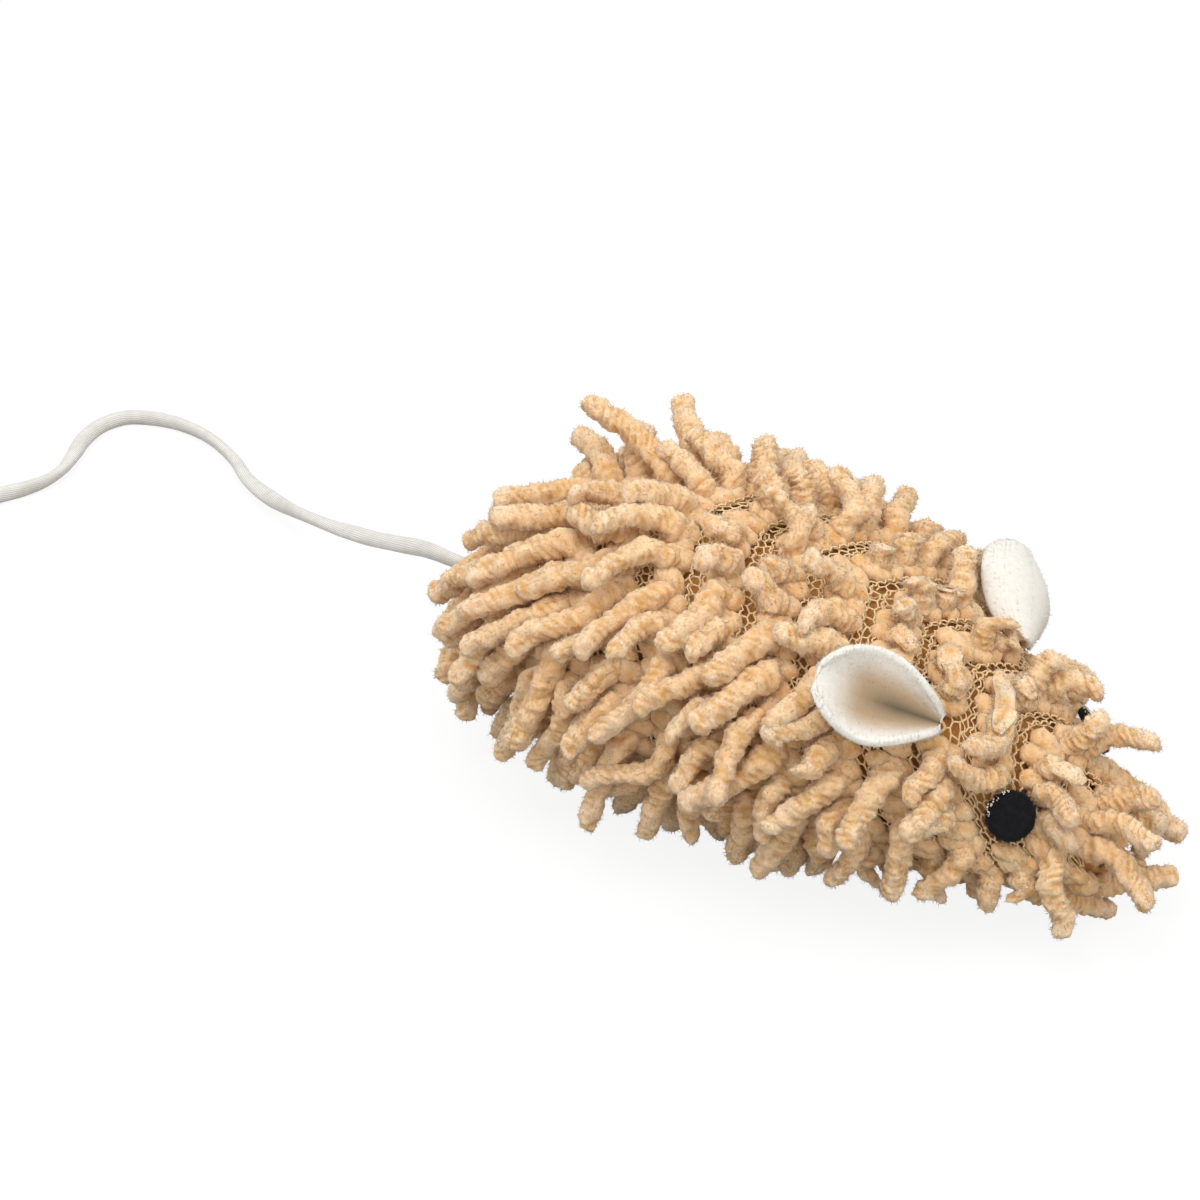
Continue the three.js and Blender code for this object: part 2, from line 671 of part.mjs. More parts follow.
// Lathe profiles run up the outside, so that faces point out
function pouchSheet() {
  const rest = CLEARANCE / 2;
  const inside = domeProfile(POUCH_DIAMETER / 2, POUCH_HEIGHT, rest);
  const outside = domeProfile(POUCH_DIAMETER / 2, POUCH_HEIGHT + POUCH_SHEET, rest + POUCH_SHEET);
  const rim = [new THREE.Vector2(RIM_RADIUS, rest), new THREE.Vector2(RIM_RADIUS, rest + POUCH_SHEET)];
  return lathed([...inside, ...rim, ...outside.reverse()], POUCH_SIDES);
}

function herbFill() {
  const radius = POUCH_DIAMETER / 2 - 2 * CLEARANCE;
  const top = domeProfile(radius, POUCH_HEIGHT - CLEARANCE, 0);
  const bottom = top.slice(0, -1).map((p) => new THREE.Vector2(p.x, -p.y));
  return lathed([...bottom, ...top.reverse()], POUCH_SIDES);
}

function pouchRecess() {
  const room = POUCH_SHEET + 2 * CLEARANCE;
  const top = domeProfile(POUCH_DIAMETER / 2 + CLEARANCE, POUCH_HEIGHT + room, room);
  const rim = RIM_RADIUS + CLEARANCE;
  const points = [
    new THREE.Vector2(0, -RECESS_OVERLAP), new THREE.Vector2(rim, -RECESS_OVERLAP),
    new THREE.Vector2(rim, room), ...top.reverse(),
  ];
  return lathed(points, POUCH_SIDES).translate(POUCH_FORWARD, 0, MIDDLE_HEIGHT);
}

function filling(firstAlong, lastAlong, recess) {
  return geometryFrom(solidFrom(wadGeometry(firstAlong, lastAlong)).subtract(solidFrom(recess)));
}

// The pouch's other half faces the rump
function facingRump(geometry) {
  return geometry.rotateZ(Math.PI);
}

// Tube with a many-sided section along a curve
function tubeGeometry(curve, diameter, sides, steps) {
  const section = new THREE.Shape();
  for (let i = 0; i < sides; i += 1) {
    const turn = (2 * Math.PI * i) / sides;
    const corner = [Math.cos(turn) * (diameter / 2), Math.sin(turn) * (diameter / 2)];
    if (i === 0) {
      section.moveTo(...corner);
    } else {
      section.lineTo(...corner);
    }
  }
  section.closePath();
  return new THREE.ExtrudeGeometry(section, { steps, bevelEnabled: false, extrudePath: curve });
}

const TAIL_SIDES = 8;
const TAIL_STEP = 2.4;
const THREAD_SIDES = 5;

function tailCord() {
  const steps = Math.round(tailCurve.getLength() / (TAIL_STEP * TAIL_DIAMETER));
  return tubeGeometry(tailCurve, TAIL_DIAMETER, TAIL_SIDES, steps);
}

// Seam thread between two panels, short of both tips
function seamThread(angleAt) {
  const inner = gridStations.slice(1, -1);
  const points = inner.map((station) => layerPoint(station, angleAt(station), FABRIC_THICKNESS / 2));
  return tubeGeometry(new THREE.CatmullRomCurve3(points), THREAD_DIAMETER, THREAD_SIDES, inner.length);
}

// Knot of the tail inside the rump, with the stub that runs out to the free cord
const KNOT_SIDES = 12;
const KNOT_SHOULDER = 0.8;

function tailKnot() {
  const curve = (BODY_HEIGHT / 2) ** 2 / RUMP_LENGTH;
  const sag = (TAIL_KNOT_DIAMETER / 2) ** 2 / (2 * curve);
  const face = LINING_DEPTH + LINING_THICKNESS + CLEARANCE + sag;
  const start = -TAIL_ROUTE[0][0] + 3 * CLEARANCE;
  const stub = TAIL_DIAMETER / 2;
  const knot = TAIL_KNOT_DIAMETER / 2;
  const bulge = TAIL_KNOT_LENGTH / 4;
  const outline = [
    [0, start], [stub * KNOT_SHOULDER, start], [stub, start + CLEARANCE], [stub, face],
    [knot * KNOT_SHOULDER, face], [knot, face + bulge], [knot, face + TAIL_KNOT_LENGTH - bulge],
    [knot * KNOT_SHOULDER, face + TAIL_KNOT_LENGTH], [0, face + TAIL_KNOT_LENGTH],
  ];
  const points = outline.map(([radius, along]) => new THREE.Vector2(radius, along));
  return lathed(points, KNOT_SIDES).translate(-RUMP_LENGTH, 0, TAIL_HOLE_HEIGHT);
}

// Round piece that stands on its base at the origin, its top towards +Z
const DISC_SIDES = 12;

function discGeometry(diameter, thickness, edge) {
  const radius = diameter / 2;
  const outline = [
    [0, 0], [radius, 0], [radius, thickness - edge], [radius - edge, thickness], [0, thickness],
  ];
  const points = outline.map(([across, height]) => new THREE.Vector2(across, height));
  return new THREE.LatheGeometry(points, DISC_SIDES).rotateX(Math.PI / 2);
}

// Matrix that stands a piece on the fabric, its own +Z outwards
function standMatrix(fromNose, degrees, lift) {
  const { point, forward, out } = bodyPlace(fromNose, degrees);
  const side = out.clone().cross(forward);
  return new THREE.Matrix4().makeBasis(forward, side, out).setPosition(point.addScaledVector(out, lift));
}

const mouse = new THREE.Group();

function addPiece(name, geometry, material, matrix) {
  const mesh = new THREE.Mesh(geometry, material);
  mesh.name = name;
  if (matrix) {
    mesh.applyMatrix4(matrix);
  }
  mouse.add(mesh);
}

function addPair(name, geometry, material, rightMatrix) {
  addPiece(`right_${name}`, geometry, material, rightMatrix);
  addPiece(`left_${name}`, geometry, material, leftMatrix(rightMatrix));
}

// Fabric shells
addPiece('right_side_panel', panelGeometry(rightEdges, SIDE_COLUMNS, sideNoodles(RIGHT_PILE)), CHENILLE);
addPiece('left_side_panel', panelGeometry(leftEdges, SIDE_COLUMNS, sideNoodles(LEFT_PILE)), CHENILLE);
addPiece('belly_panel', panelGeometry(bellyEdges, BELLY_COLUMNS, bellyNoodles()), CHENILLE);
addPiece('right_lining', liningSheet(rightEdges, SIDE_COLUMNS), WEAVE);
addPiece('left_lining', liningSheet(leftEdges, SIDE_COLUMNS), WEAVE);
addPiece('belly_lining', liningSheet(bellyEdges, BELLY_COLUMNS), WEAVE);

// Seams
addPiece('spine_seam_thread', seamThread(() => Math.PI / 2), THREAD);
addPiece('right_base_seam_thread', seamThread(baseSeam), THREAD);
addPiece('left_base_seam_thread', seamThread((station) => Math.PI - baseSeam(station)), THREAD);
const noseHole = surfacePoint(stationAt(NOSE_EDGE), 0);
const NOSE_KNOT_FACES = [10, 6];
addPiece('nose_seam_knot', new THREE.SphereGeometry(NOSE_KNOT_DIAMETER / 2, ...NOSE_KNOT_FACES)
  .translate(noseHole.x + NOSE_KNOT_DIAMETER / 4, 0, noseHole.z), THREAD);

// Filling and catnip
const split = CLEARANCE / 2;
const rumpStart = TAIL_KNOT_LENGTH + TIP_FREE - RUMP_LENGTH;
const frontRecess = pouchRecess();
const backRecess = facingRump(pouchRecess().translate(-POUCH_FORWARD, 0, 0)).translate(POUCH_FORWARD, 0, 0);
addPiece('head_filling', filling(POUCH_FORWARD + split, HEAD_LENGTH - TIP_FREE, frontRecess), FIBRE);
addPiece('rump_filling', filling(rumpStart, POUCH_FORWARD - split, backRecess), FIBRE);
const pouchPlace = new THREE.Matrix4().makeTranslation(POUCH_FORWARD, 0, MIDDLE_HEIGHT);
addPiece('sachet_front_sheet', pouchSheet(), MUSLIN, pouchPlace);
addPiece('sachet_back_sheet', facingRump(pouchSheet()), MUSLIN, pouchPlace);
addPiece('dried_catnip', herbFill(), HERB, pouchPlace);

// Ears and eyes
const earLeaf = slabGeometry(earGrid(EAR_THICKNESS / 2), earGrid(-EAR_THICKNESS / 2));
addPiece('right_ear', earLeaf, WHITE_FELT, earMatrix(RIGHT_EAR, 0));
addPiece('left_ear', earLeaf, WHITE_FELT, leftMatrix(earMatrix(LEFT_EAR, 0)));
addPair('ear_tack', discGeometry(EAR_TACK_DIAMETER, EAR_TACK_HEIGHT, CLEARANCE / 2), THREAD,
  standMatrix(EAR_FROM_NOSE, EAR_ANGLE, CLEARANCE));
addPair('eye_glue', discGeometry(GLUE_DIAMETER, GLUE_THICKNESS, CLEARANCE / 2), CLEAR_GLUE,
  standMatrix(EYE_FROM_NOSE, EYE_ANGLE, CLEARANCE));
addPair('eye', discGeometry(EYE_DIAMETER, EYE_THICKNESS, CLEARANCE), BLACK_FELT,
  standMatrix(EYE_FROM_NOSE, EYE_ANGLE, GLUE_THICKNESS + 2 * CLEARANCE));

// Tail
addPiece('tail_anchor_knot', tailKnot(), SATIN);

// The origin is under the middle of the mouse, measured without its free tail
const span = new THREE.Box3().setFromObject(mouse, true);
addPiece('tail_cord', tailCord(), SATIN);
mouse.position.x = -(span.min.x + span.max.x) / 2;

export default mouse;
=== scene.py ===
"""Catnip mouse in chenille noodle pile: the soft pieces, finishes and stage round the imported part."""

import math

import bpy
import numpy as np
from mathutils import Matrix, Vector


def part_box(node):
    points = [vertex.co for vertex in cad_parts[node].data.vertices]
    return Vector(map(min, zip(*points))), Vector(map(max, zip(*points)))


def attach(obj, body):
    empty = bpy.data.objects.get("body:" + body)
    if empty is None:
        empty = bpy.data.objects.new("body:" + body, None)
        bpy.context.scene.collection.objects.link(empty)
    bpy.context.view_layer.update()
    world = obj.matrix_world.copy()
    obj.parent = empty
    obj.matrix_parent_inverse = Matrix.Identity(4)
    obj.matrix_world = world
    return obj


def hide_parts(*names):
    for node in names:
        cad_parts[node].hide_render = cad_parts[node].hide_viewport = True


bl_info = {
    "name": "Catnip Mouse",
    "version": (1, 0, 0),
    "blender": (4, 5, 0),
    "location": "View3D > Sidebar > Mouse",
    "description": "Dresses a toy mouse in chenille pile, knit net, felt and satin cord",
    "category": "Object",
}

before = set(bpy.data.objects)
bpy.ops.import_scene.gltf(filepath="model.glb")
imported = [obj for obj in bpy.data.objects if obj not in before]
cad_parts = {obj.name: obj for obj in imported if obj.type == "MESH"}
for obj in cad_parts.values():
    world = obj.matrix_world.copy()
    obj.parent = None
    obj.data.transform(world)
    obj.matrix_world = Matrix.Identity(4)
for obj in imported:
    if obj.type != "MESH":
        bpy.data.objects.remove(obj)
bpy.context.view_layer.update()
MM = 0.001

# Body of sewn fabric, in millimetres, as in the part
RUMP_LENGTH = 32.5
HEAD_LENGTH = 55.5
BODY_WIDTH = 41.5
BODY_HEIGHT = 35.5
BELLY_CLEARANCE = 4
TAIL_ROOT_HEIGHT = 16.7
NOSE_HEIGHT = 7.7
CHEEK_FULLNESS = 1.12
NOSE_BLUNTNESS = 0.66
BELLY_PANEL_WIDTH = 20
FABRIC_THICKNESS = 1.2
LINING_THICKNESS = 0.5
FILLING_SLACK = 0.7
CLEARANCE = 0.3
THREAD_DIAMETER = 0.8
BODY_LENGTH = RUMP_LENGTH + HEAD_LENGTH
MIDDLE_HEIGHT = BELLY_CLEARANCE + BODY_HEIGHT / 2
BASE_SEAM_ANGLE = -math.acos(BELLY_PANEL_WIDTH / BODY_WIDTH)
THIRD_OF_TURN_SEAM = -math.pi / 6
SEAM_HALF_GAP = THREAD_DIAMETER / 2 + CLEARANCE
LINING_DEPTH = FABRIC_THICKNESS + CLEARANCE
FILLING_DEPTH = LINING_DEPTH + LINING_THICKNESS + FILLING_SLACK

# Pile of chenille fingers
NOODLE_DIAMETER = 3.2
NOODLE_LENGTH = 15
HEAD_NOODLE_LENGTH = 8
BELLY_NOODLE_LENGTH = 11
NOODLE_PITCH = 4.2
BELLY_NOODLE_PITCH = 7
ROW_PITCH = 7.2
HEAD_ROW_PITCH = 6.4
HEAD_ROWS_FROM_NOSE = 30
ROW_LEAN = 12
ELBOW_HEIGHT = 2
ROOT_DEPTH = 0.65
FLAT_CUT = 0.5
NOODLE_CORNER = NOODLE_DIAMETER * 0.54
FLOOR_REST = NOODLE_CORNER * math.sqrt(0.5) - FLAT_CUT
SOFT_GAP = 2.4
SOFT_RADIUS = 1.6
SOFT_INSET = 1.1
LOW_CHEEK_ANGLE = math.radians(12)

# Ears and eyes
EAR_LENGTH = 16.7
EAR_WIDTH = 12.8
EAR_THICKNESS = 1.2
EAR_BASE_CURL = 1.6
EAR_END_CURL = 0.85
EAR_END_LIFT = 1.6
EAR_FROM_NOSE = 20.5
EAR_ANGLE = 53
EAR_TACK_HEIGHT = 0.7
EAR_TAPER = 0.47
EAR_SPREAD = 1.22
EAR_ENDS = (0.02, 0.985)
EARS = {
    "right": {"mirror": 1, "rise": 8, "droop": 17, "roll": 0, "lifts": (-5, 40)},
    "left": {"mirror": -1, "rise": 20, "droop": 43, "roll": 180, "lifts": (0, 40)},
}
EAR_SEAT = EAR_TACK_HEIGHT + EAR_THICKNESS / 2 + 2 * CLEARANCE
EYE_DIAMETER = 6
EYE_THICKNESS = 1.3
EYE_FROM_NOSE = 11
EYE_ANGLE = 31
GLUE_DIAMETER = 4.4
GLUE_THICKNESS = 0.5

# Tail, pouch and filling
TAIL_DIAMETER = 2.2
TAIL_HOLE_CLEARANCE = 0.8
TAIL_WAG = 25
TAIL_REST_HEIGHT = 1.15
TAIL_KNOT_LENGTH = 4
NOSE_KNOT_DIAMETER = 2
NOSE_KNOT_MARGIN = 2
POUCH_DIAMETER = 21
POUCH_THICKNESS = 11
POUCH_RIM = 2.5
POUCH_SHEET = 0.4
POUCH_FORWARD = 3
POUCH_HEIGHT = POUCH_THICKNESS / 2 - POUCH_SHEET
TIP_FREE = 9

# The tail's route: distance behind the tail root, distance to the left, and drop below the hole it leaves by
ON_FLOOR = math.inf
TAIL_ROUTE = (
    (-0.4, 0, 0), (5, 0, -0.1), (10, 0, -0.1), (15, 0.3, 0.1), (20.9, 1.8, 2.3), (26.7, 3.6, 4.6),
    (32.5, 5.5, 6.7), (39.5, 8.4, 9.4), (46.1, 11.1, 11.7), (54.7, 14.8, 14.2), (61.4, 18.2, 15.6),
    (67, 21.7, ON_FLOOR), (73.8, 24.2, ON_FLOOR), (79.7, 24.6, ON_FLOOR), (83.6, 23.8, ON_FLOOR),
    (87.1, 22, ON_FLOOR), (88.7, 18.7, ON_FLOOR), (88.4, 14.1, ON_FLOOR), (86.8, 9.9, ON_FLOOR),
    (85.6, 6.2, ON_FLOOR), (85.6, 2.8, ON_FLOOR), (86.8, -0.4, ON_FLOOR), (88.8, -3.8, ON_FLOOR),
    (91.5, -9, ON_FLOOR), (96, -14, ON_FLOOR), (101.5, -18, ON_FLOOR), (107.5, -20.5, ON_FLOOR),
    (114, -22, ON_FLOOR),
)

# The body's own X runs from its widest section; the frame's runs from the middle of the pile
HERB_LOW, HERB_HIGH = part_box("dried_catnip")
SHIFT = np.array(((HERB_LOW.x + HERB_HIGH.x) / 2 / MM - POUCH_FORWARD, 0, 0))


def linear_colour(hex_colour):
    """Linear RGBA of an sRGB hex colour."""
    channels = np.array([int(hex_colour[k:k + 2], 16) for k in (1, 3, 5)]) / 255
    low = channels / 12.92
    high = ((channels + 0.055) / 1.055) ** 2.4
    return (*np.where(channels <= 0.04045, low, high).tolist(), 1.0)


def lerp(start, end, share):
    """Value a share of the way from start to end."""
    return start + (end - start) * share


def smoothstep(value, low, high):
    """S-shaped rise from 0 at low to 1 at high."""
    share = np.clip((value - low) / (high - low), 0, 1)
    return share * share * (3 - 2 * share)


def unit(vectors):
    """Vectors made one long."""
    return vectors / np.linalg.norm(vectors, axis=-1, keepdims=True)


def full_turn(count):
    """Even angles of one whole turn, without its end."""
    return np.linspace(0, 2 * math.pi, count, endpoint=False)


def lengths_along(path):
    """Length along a path up to each of its points."""
    return np.concatenate([[0], np.cumsum(np.linalg.norm(np.diff(path, axis=0), axis=1))])


def girth(station):
    """Share of the full girth: a quarter ellipse over the rump, a power of a cosine over the head."""
    along = np.asarray(station, float) * BODY_LENGTH
    rump = np.sqrt(np.clip(1 - (1 - along / RUMP_LENGTH) ** 2, 0, None))
    share = np.clip((along - RUMP_LENGTH) / HEAD_LENGTH, 0, 1)
    head = np.clip(np.cos(math.pi / 2 * share ** CHEEK_FULLNESS), 0, None) ** NOSE_BLUNTNESS
    return np.where(along < RUMP_LENGTH, rump, head)


def surface_point(station, angle):
    """Point of the fabric's outer face: an ellipse at each station, whose centre drops towards both ends."""
    station, angle = np.broadcast_arrays(np.asarray(station, float), np.asarray(angle, float))
    share = girth(station)
    along = station * BODY_LENGTH - RUMP_LENGTH
    centre = lerp(np.where(along < 0, TAIL_ROOT_HEIGHT, NOSE_HEIGHT), MIDDLE_HEIGHT, share)
    across = -BODY_WIDTH / 2 * share * np.cos(angle)
    return np.stack([along, across, centre + BODY_HEIGHT / 2 * share * np.sin(angle)], axis=-1)


def surface_frame(station, angle):
    """Unit vectors towards the nose, up round the girth and out, by small differences."""
    small = 1e-5
    before = np.maximum(small, np.asarray(station, float) - small)
    forward = unit(surface_point(before + 2 * small, angle) - surface_point(before, angle))
    upward = unit(surface_point(station, angle + small) - surface_point(station, angle - small))
    return forward, upward, unit(np.cross(forward, upward))


def layer_point(station, angle, depth):
    """Point at a depth under the outer face."""
    out = surface_frame(station, angle)[2]
    return surface_point(station, angle) - out * np.asarray(depth, float)[..., None]


# Length along the flank from the rump, as a table that is read both ways
STATIONS = 0.5 - 0.5 * np.cos(np.linspace(0, math.pi, 4001))
RUNS = lengths_along(surface_point(STATIONS, 0.0))
FLANK_LENGTH = RUNS[-1]
RUMP_EDGE = TAIL_DIAMETER / 2 + TAIL_HOLE_CLEARANCE
NOSE_EDGE = FLANK_LENGTH - NOSE_KNOT_DIAMETER / 2 - NOSE_KNOT_MARGIN

# Length round the widest girth, as a table over the angle
GIRTH_ANGLES = np.linspace(-1.5 * math.pi, 2 * math.pi, 4001)
GIRTH_SPEEDS = np.hypot(BODY_WIDTH / 2 * np.sin(GIRTH_ANGLES), BODY_HEIGHT / 2 * np.cos(GIRTH_ANGLES))
GIRTH_ARCS = np.cumsum(GIRTH_SPEEDS) * (GIRTH_ANGLES[1] - GIRTH_ANGLES[0])


def station_at(run):
    """Station at a length along the flank."""
    return np.interp(run, RUNS, STATIONS)


def base_seam(station):
    """Angle of the seam between a side panel and the belly panel."""
    return lerp(THIRD_OF_TURN_SEAM, BASE_SEAM_ANGLE, girth(station))


def angle_for(station, angle, length):
    """Angle that spans a short length round the girth."""
    share = girth(station)
    wide = BODY_WIDTH / 2 * share * np.sin(angle)
    high = BODY_HEIGHT / 2 * share * np.cos(angle)
    return length / np.hypot(wide, high)


def right_edges(station, inset):
    """Lowest and highest angle of the right panel, drawn back from its seams."""
    low = base_seam(station)
    top = np.full_like(low, math.pi / 2)
    return low + angle_for(station, low, inset), top - angle_for(station, top, inset)


def left_edges(station, inset):
    """Edges of the left panel, which mirror the right one's."""
    low, top = right_edges(station, inset)
    return math.pi - top, math.pi - low


def belly_edges(station, inset):
    """Edges of the belly panel, under both base seams."""
    right = base_seam(station)
    pulled = right - angle_for(station, right, inset)
    return -math.pi - pulled, pulled


def scatter(seed):
    """Repeatable value from -1 to 1."""
    value = math.sin(seed * 12.9898) * 43758.5453
    return 2 * (value - math.floor(value)) - 1


def body_place(from_nose, degrees):
    """Point on the fabric with the directions forward, to the side and out."""
    station = 1 - from_nose / BODY_LENGTH
    angle = math.radians(degrees)
    forward, _, out = surface_frame(station, angle)
    return surface_point(station, angle), forward, np.cross(out, forward), out


def ear_place(ear, leaf, lift=0):
    """Leaf's points on the ear's seat: rolled about its length, raised by rise and lift, and mirrored."""
    point, forward, side, out = body_place(EAR_FROM_NOSE, EAR_ANGLE)
    droop, roll, rise = (math.radians(degrees) for degrees in (ear["droop"], ear["roll"], ear["rise"] + lift))
    flat = -forward * math.cos(droop) - side * math.sin(droop)
    along = flat * math.cos(rise) + out * math.sin(rise)
    upright = out * math.cos(rise) - flat * math.sin(rise)
    level = np.cross(out, flat)
    across = level * math.cos(roll) + upright * math.sin(roll)
    cup = upright * math.cos(roll) - level * math.sin(roll)
    mirror = np.array((1, ear["mirror"], 1))
    return (point + out * EAR_SEAT + (leaf * mirror) @ np.stack([along, across, cup])) * mirror


def ear_point(along, across):
    """Leaf rolled into a cup, pinched at the base and round at the end.

    Its half breadth is a power of a sine along it. Across it is an arc, curled tighter towards the base.
    Its round end lifts by the square of a smooth step.
    """
    along, across = np.broadcast_arrays(along, across)
    breadth = EAR_WIDTH / 2 * np.sin(math.pi * along ** EAR_SPREAD) ** EAR_TAPER
    curl = lerp(EAR_BASE_CURL, EAR_END_CURL, smoothstep(along, 0, 0.6))
    lift = breadth * (1 - np.cos(curl * across)) / curl
    end_lift = EAR_END_LIFT * smoothstep(along, 0.45, 1) ** 2
    return np.stack([EAR_LENGTH * along, breadth * np.sin(curl * across) / curl, lift + end_lift], axis=-1)


def route_curve(points, count):
    """Centripetal Catmull-Rom curve through the points, at count even steps of its own length."""
    points = np.asarray(points, float)
    padded = np.vstack([2 * points[0] - points[1], points, 2 * points[-1] - points[-2]])
    share = np.linspace(0, len(points) - 1, 60 * len(points))
    leg = np.minimum(share.astype(int), len(points) - 2)
    part = (share - leg)[:, None]
    p0, p1, p2, p3 = (padded[leg + k] for k in range(4))
    gap0, gap1, gap2 = (np.sqrt(np.linalg.norm(b - a, axis=1, keepdims=True)) for a, b in
                        ((p0, p1), (p1, p2), (p2, p3)))
    leave = gap1 * ((p1 - p0) / gap0 - (p2 - p0) / (gap0 + gap1) + (p2 - p1) / gap1)
    arrive = gap1 * ((p2 - p1) / gap1 - (p3 - p1) / (gap1 + gap2) + (p3 - p2) / gap2)
    square = -3 * p1 + 3 * p2 - 2 * leave - arrive
    cube = 2 * p1 - 2 * p2 + leave + arrive
    fine = p1 + leave * part + square * part ** 2 + cube * part ** 3
    runs = lengths_along(fine)
    even = np.linspace(0, runs[-1], count)
    return np.stack([np.interp(even, runs, fine[:, k]) for k in range(3)], axis=1)


TAIL_HOLE_HEIGHT = surface_point(station_at(RUMP_EDGE), 0.0)[2]
TAIL_POINTS = np.array([
    (-RUMP_LENGTH - back, left, max(TAIL_REST_HEIGHT, TAIL_HOLE_HEIGHT - drop))
    for back, left, drop in TAIL_ROUTE
])


def kept_clear():
    """Points and radii that the pile leaves free: the eyes, and where the ears and the tail move."""
    points = []
    radii = []
    leaf = ear_point(np.linspace(*EAR_ENDS, 9)[:, None], np.linspace(-1, 1, 7)).reshape(-1, 3)
    point, forward, side, out = body_place(EYE_FROM_NOSE, EYE_ANGLE)
    turn = full_turn(8)[:, None]
    rim = EYE_DIAMETER / 3 * (forward * np.cos(turn) + side * np.sin(turn))
    ear_room = EAR_THICKNESS * 0.7 + 2 * CLEARANCE
    tail_room = TAIL_DIAMETER / 2 + 4 * CLEARANCE
    root_steps = 38
    eyes = {
        1: (point + out * np.array([[0], [1], [2]]) * EYE_THICKNESS, EYE_DIAMETER / 2),
        -1: (point + out * EYE_THICKNESS * 0.7 + np.vstack([rim, np.zeros(3)]), EYE_THICKNESS),
    }
    for ear in EARS.values():
        for lift in np.linspace(*ear["lifts"], 5):
            points.append(ear_place(ear, leaf, lift))
            radii.append(np.full(len(leaf), ear_room))
        eye, radius = eyes[ear["mirror"]]
        points.append(eye * (1, ear["mirror"], 1))
        radii.append(np.full(len(eye), radius))
    tail = route_curve(TAIL_POINTS, 161)[:root_steps] - TAIL_POINTS[0]
    for degrees in np.linspace(-TAIL_WAG, TAIL_WAG, 9):
        turn = math.radians(degrees)
        swung_x = tail[:, 0] * math.cos(turn) - tail[:, 1] * math.sin(turn)
        swung_y = tail[:, 0] * math.sin(turn) + tail[:, 1] * math.cos(turn)
        points.append(np.stack([swung_x, swung_y, tail[:, 2]], axis=1) + TAIL_POINTS[0])
        radii.append(np.full(len(tail), tail_room))
    return np.concatenate(points), np.concatenate(radii)


# Ground yarn in lumps side by side along each row, and the net's chains beside them
LUMP_PITCH = 2.5
LUMP_HALF = 2.7
LUMP_CLEARANCE = 1.3
CHAIN_FROM_ROW = 2.7
CHAIN_STITCH = 1.25
CHAIN_SWING = 0.22

# Panels of pile: the span of angles their rows cross, the zone from the nose where the fingers turn from
# forward to back, their pitch on the body and the head, the gap kept on the head, and the hem left free of
# ground yarn
PILES = {
    "right": {
        "edges": right_edges, "span": (math.pi / 2, BASE_SEAM_ANGLE), "up": 1, "zone": (6, 20),
        "pitch": NOODLE_PITCH, "head_pitch": 2.7, "head_gap": 2.0, "hem": 0, "seed": 0,
    },
    "left": {
        "edges": left_edges, "span": (math.pi / 2, math.pi - BASE_SEAM_ANGLE), "up": -1, "zone": (10, 36),
        "pitch": NOODLE_PITCH, "head_pitch": 2.2, "head_gap": 1.7, "hem": LUMP_PITCH, "seed": 1500,
    },
    "belly": {
        "edges": belly_edges, "span": (THIRD_OF_TURN_SEAM, -math.pi - THIRD_OF_TURN_SEAM), "up": 1,
        "zone": (6, 20), "pitch": BELLY_NOODLE_PITCH, "head_pitch": 2.7, "head_gap": 2.0,
        "hem": LUMP_PITCH / 2, "seed": 3000,
    },
}
PANEL_MIDDLES = {"right": math.radians(14), "left": math.radians(166), "belly": -math.pi / 2}
PANEL_NODES = {"right": "right_side_panel", "left": "left_side_panel", "belly": "belly_panel"}
LINING_NODES = {"right": "right_lining", "left": "left_lining", "belly": "belly_lining"}
LAY_WAYS = [
    (shorter, lifted, swung)
    for shorter in (1, 0.82, 0.65) for lifted in (0, 9, 18, 27, 36) for swung in (0, 20, -20, 40, -40)
]
ROW_SAMPLES = 400
SLIM_LEAN = 0.5
ROOT_STRAY = 0.5
AXIS_SHARES = np.arange(1, 8)[:, None] / 7

# Zones of the pile, each as the two values between which it fades: degrees from the spine, or millimetres
# from the nose or along the flank from the rump
SPINE_DEGREES = (5, 40)
CROWN_DEGREES = (30, 80)
BROW_DEGREES = (25, 45)
SHOULDER_DEGREES = (45, 80)
LOW_DEGREES = (75, 112)
CROWN_FROM_NOSE = (26, 56)
SNOUT_FROM_NOSE = (4, 13)
GROWTH_FROM_NOSE = (14, 60)
FAR_CHEEK_FROM_NOSE = (5, 9)
FAR_CHEEK_TO = (16, 26)
BROW_FROM_NOSE = 13
BROW_REACH = (4, 8)
SHOULDER_FROM_NOSE = (15, 30)
SHOULDER_TO = (55, 75)
SPINE_CUT_FROM_NOSE = (45, 85)
PITCH_FROM_NOSE = (18, 45)
GAP_FROM_NOSE = (20, 40)
SPINE_LIFT_RUN = (8, 32)
RUMP_RUN = (5, 25)

# Lay of a finger: its lean back and down, its lift in degrees, its length in millimetres, and their strays
LEAN_BACK = (-0.9, 0.74)
LEAN_DOWN = (0.85, 0.4)
LOW_LEAN_DOWN = 0.35
LEAN_STRAY = (0.42, 0.6)
DOWN_STRAY = 0.1
FLANK_LIFT = 11
SPINE_LIFT = (8, 32)
CROWN_LIFT = 24
BROW_LIFT = 26
LIFT_STRAY = (10, 12)
BELLY_LIFT = 6
LENGTH_STRAY = 1.5
SNOUT_EXTRA = 4
RUMP_EXTRA = 1.5
FAR_CHEEK_EXTRA = 3
SHOULDER_CUT = 0.22
SPINE_CUT = (0.4, 0.2)
SPINE_CUT_STRAY = 0.2
LOW_CUT = 0.18
SHORT_ABOVE = 0.25
SHORT_SHARE = 0.58
SHORT_LIFT = 18


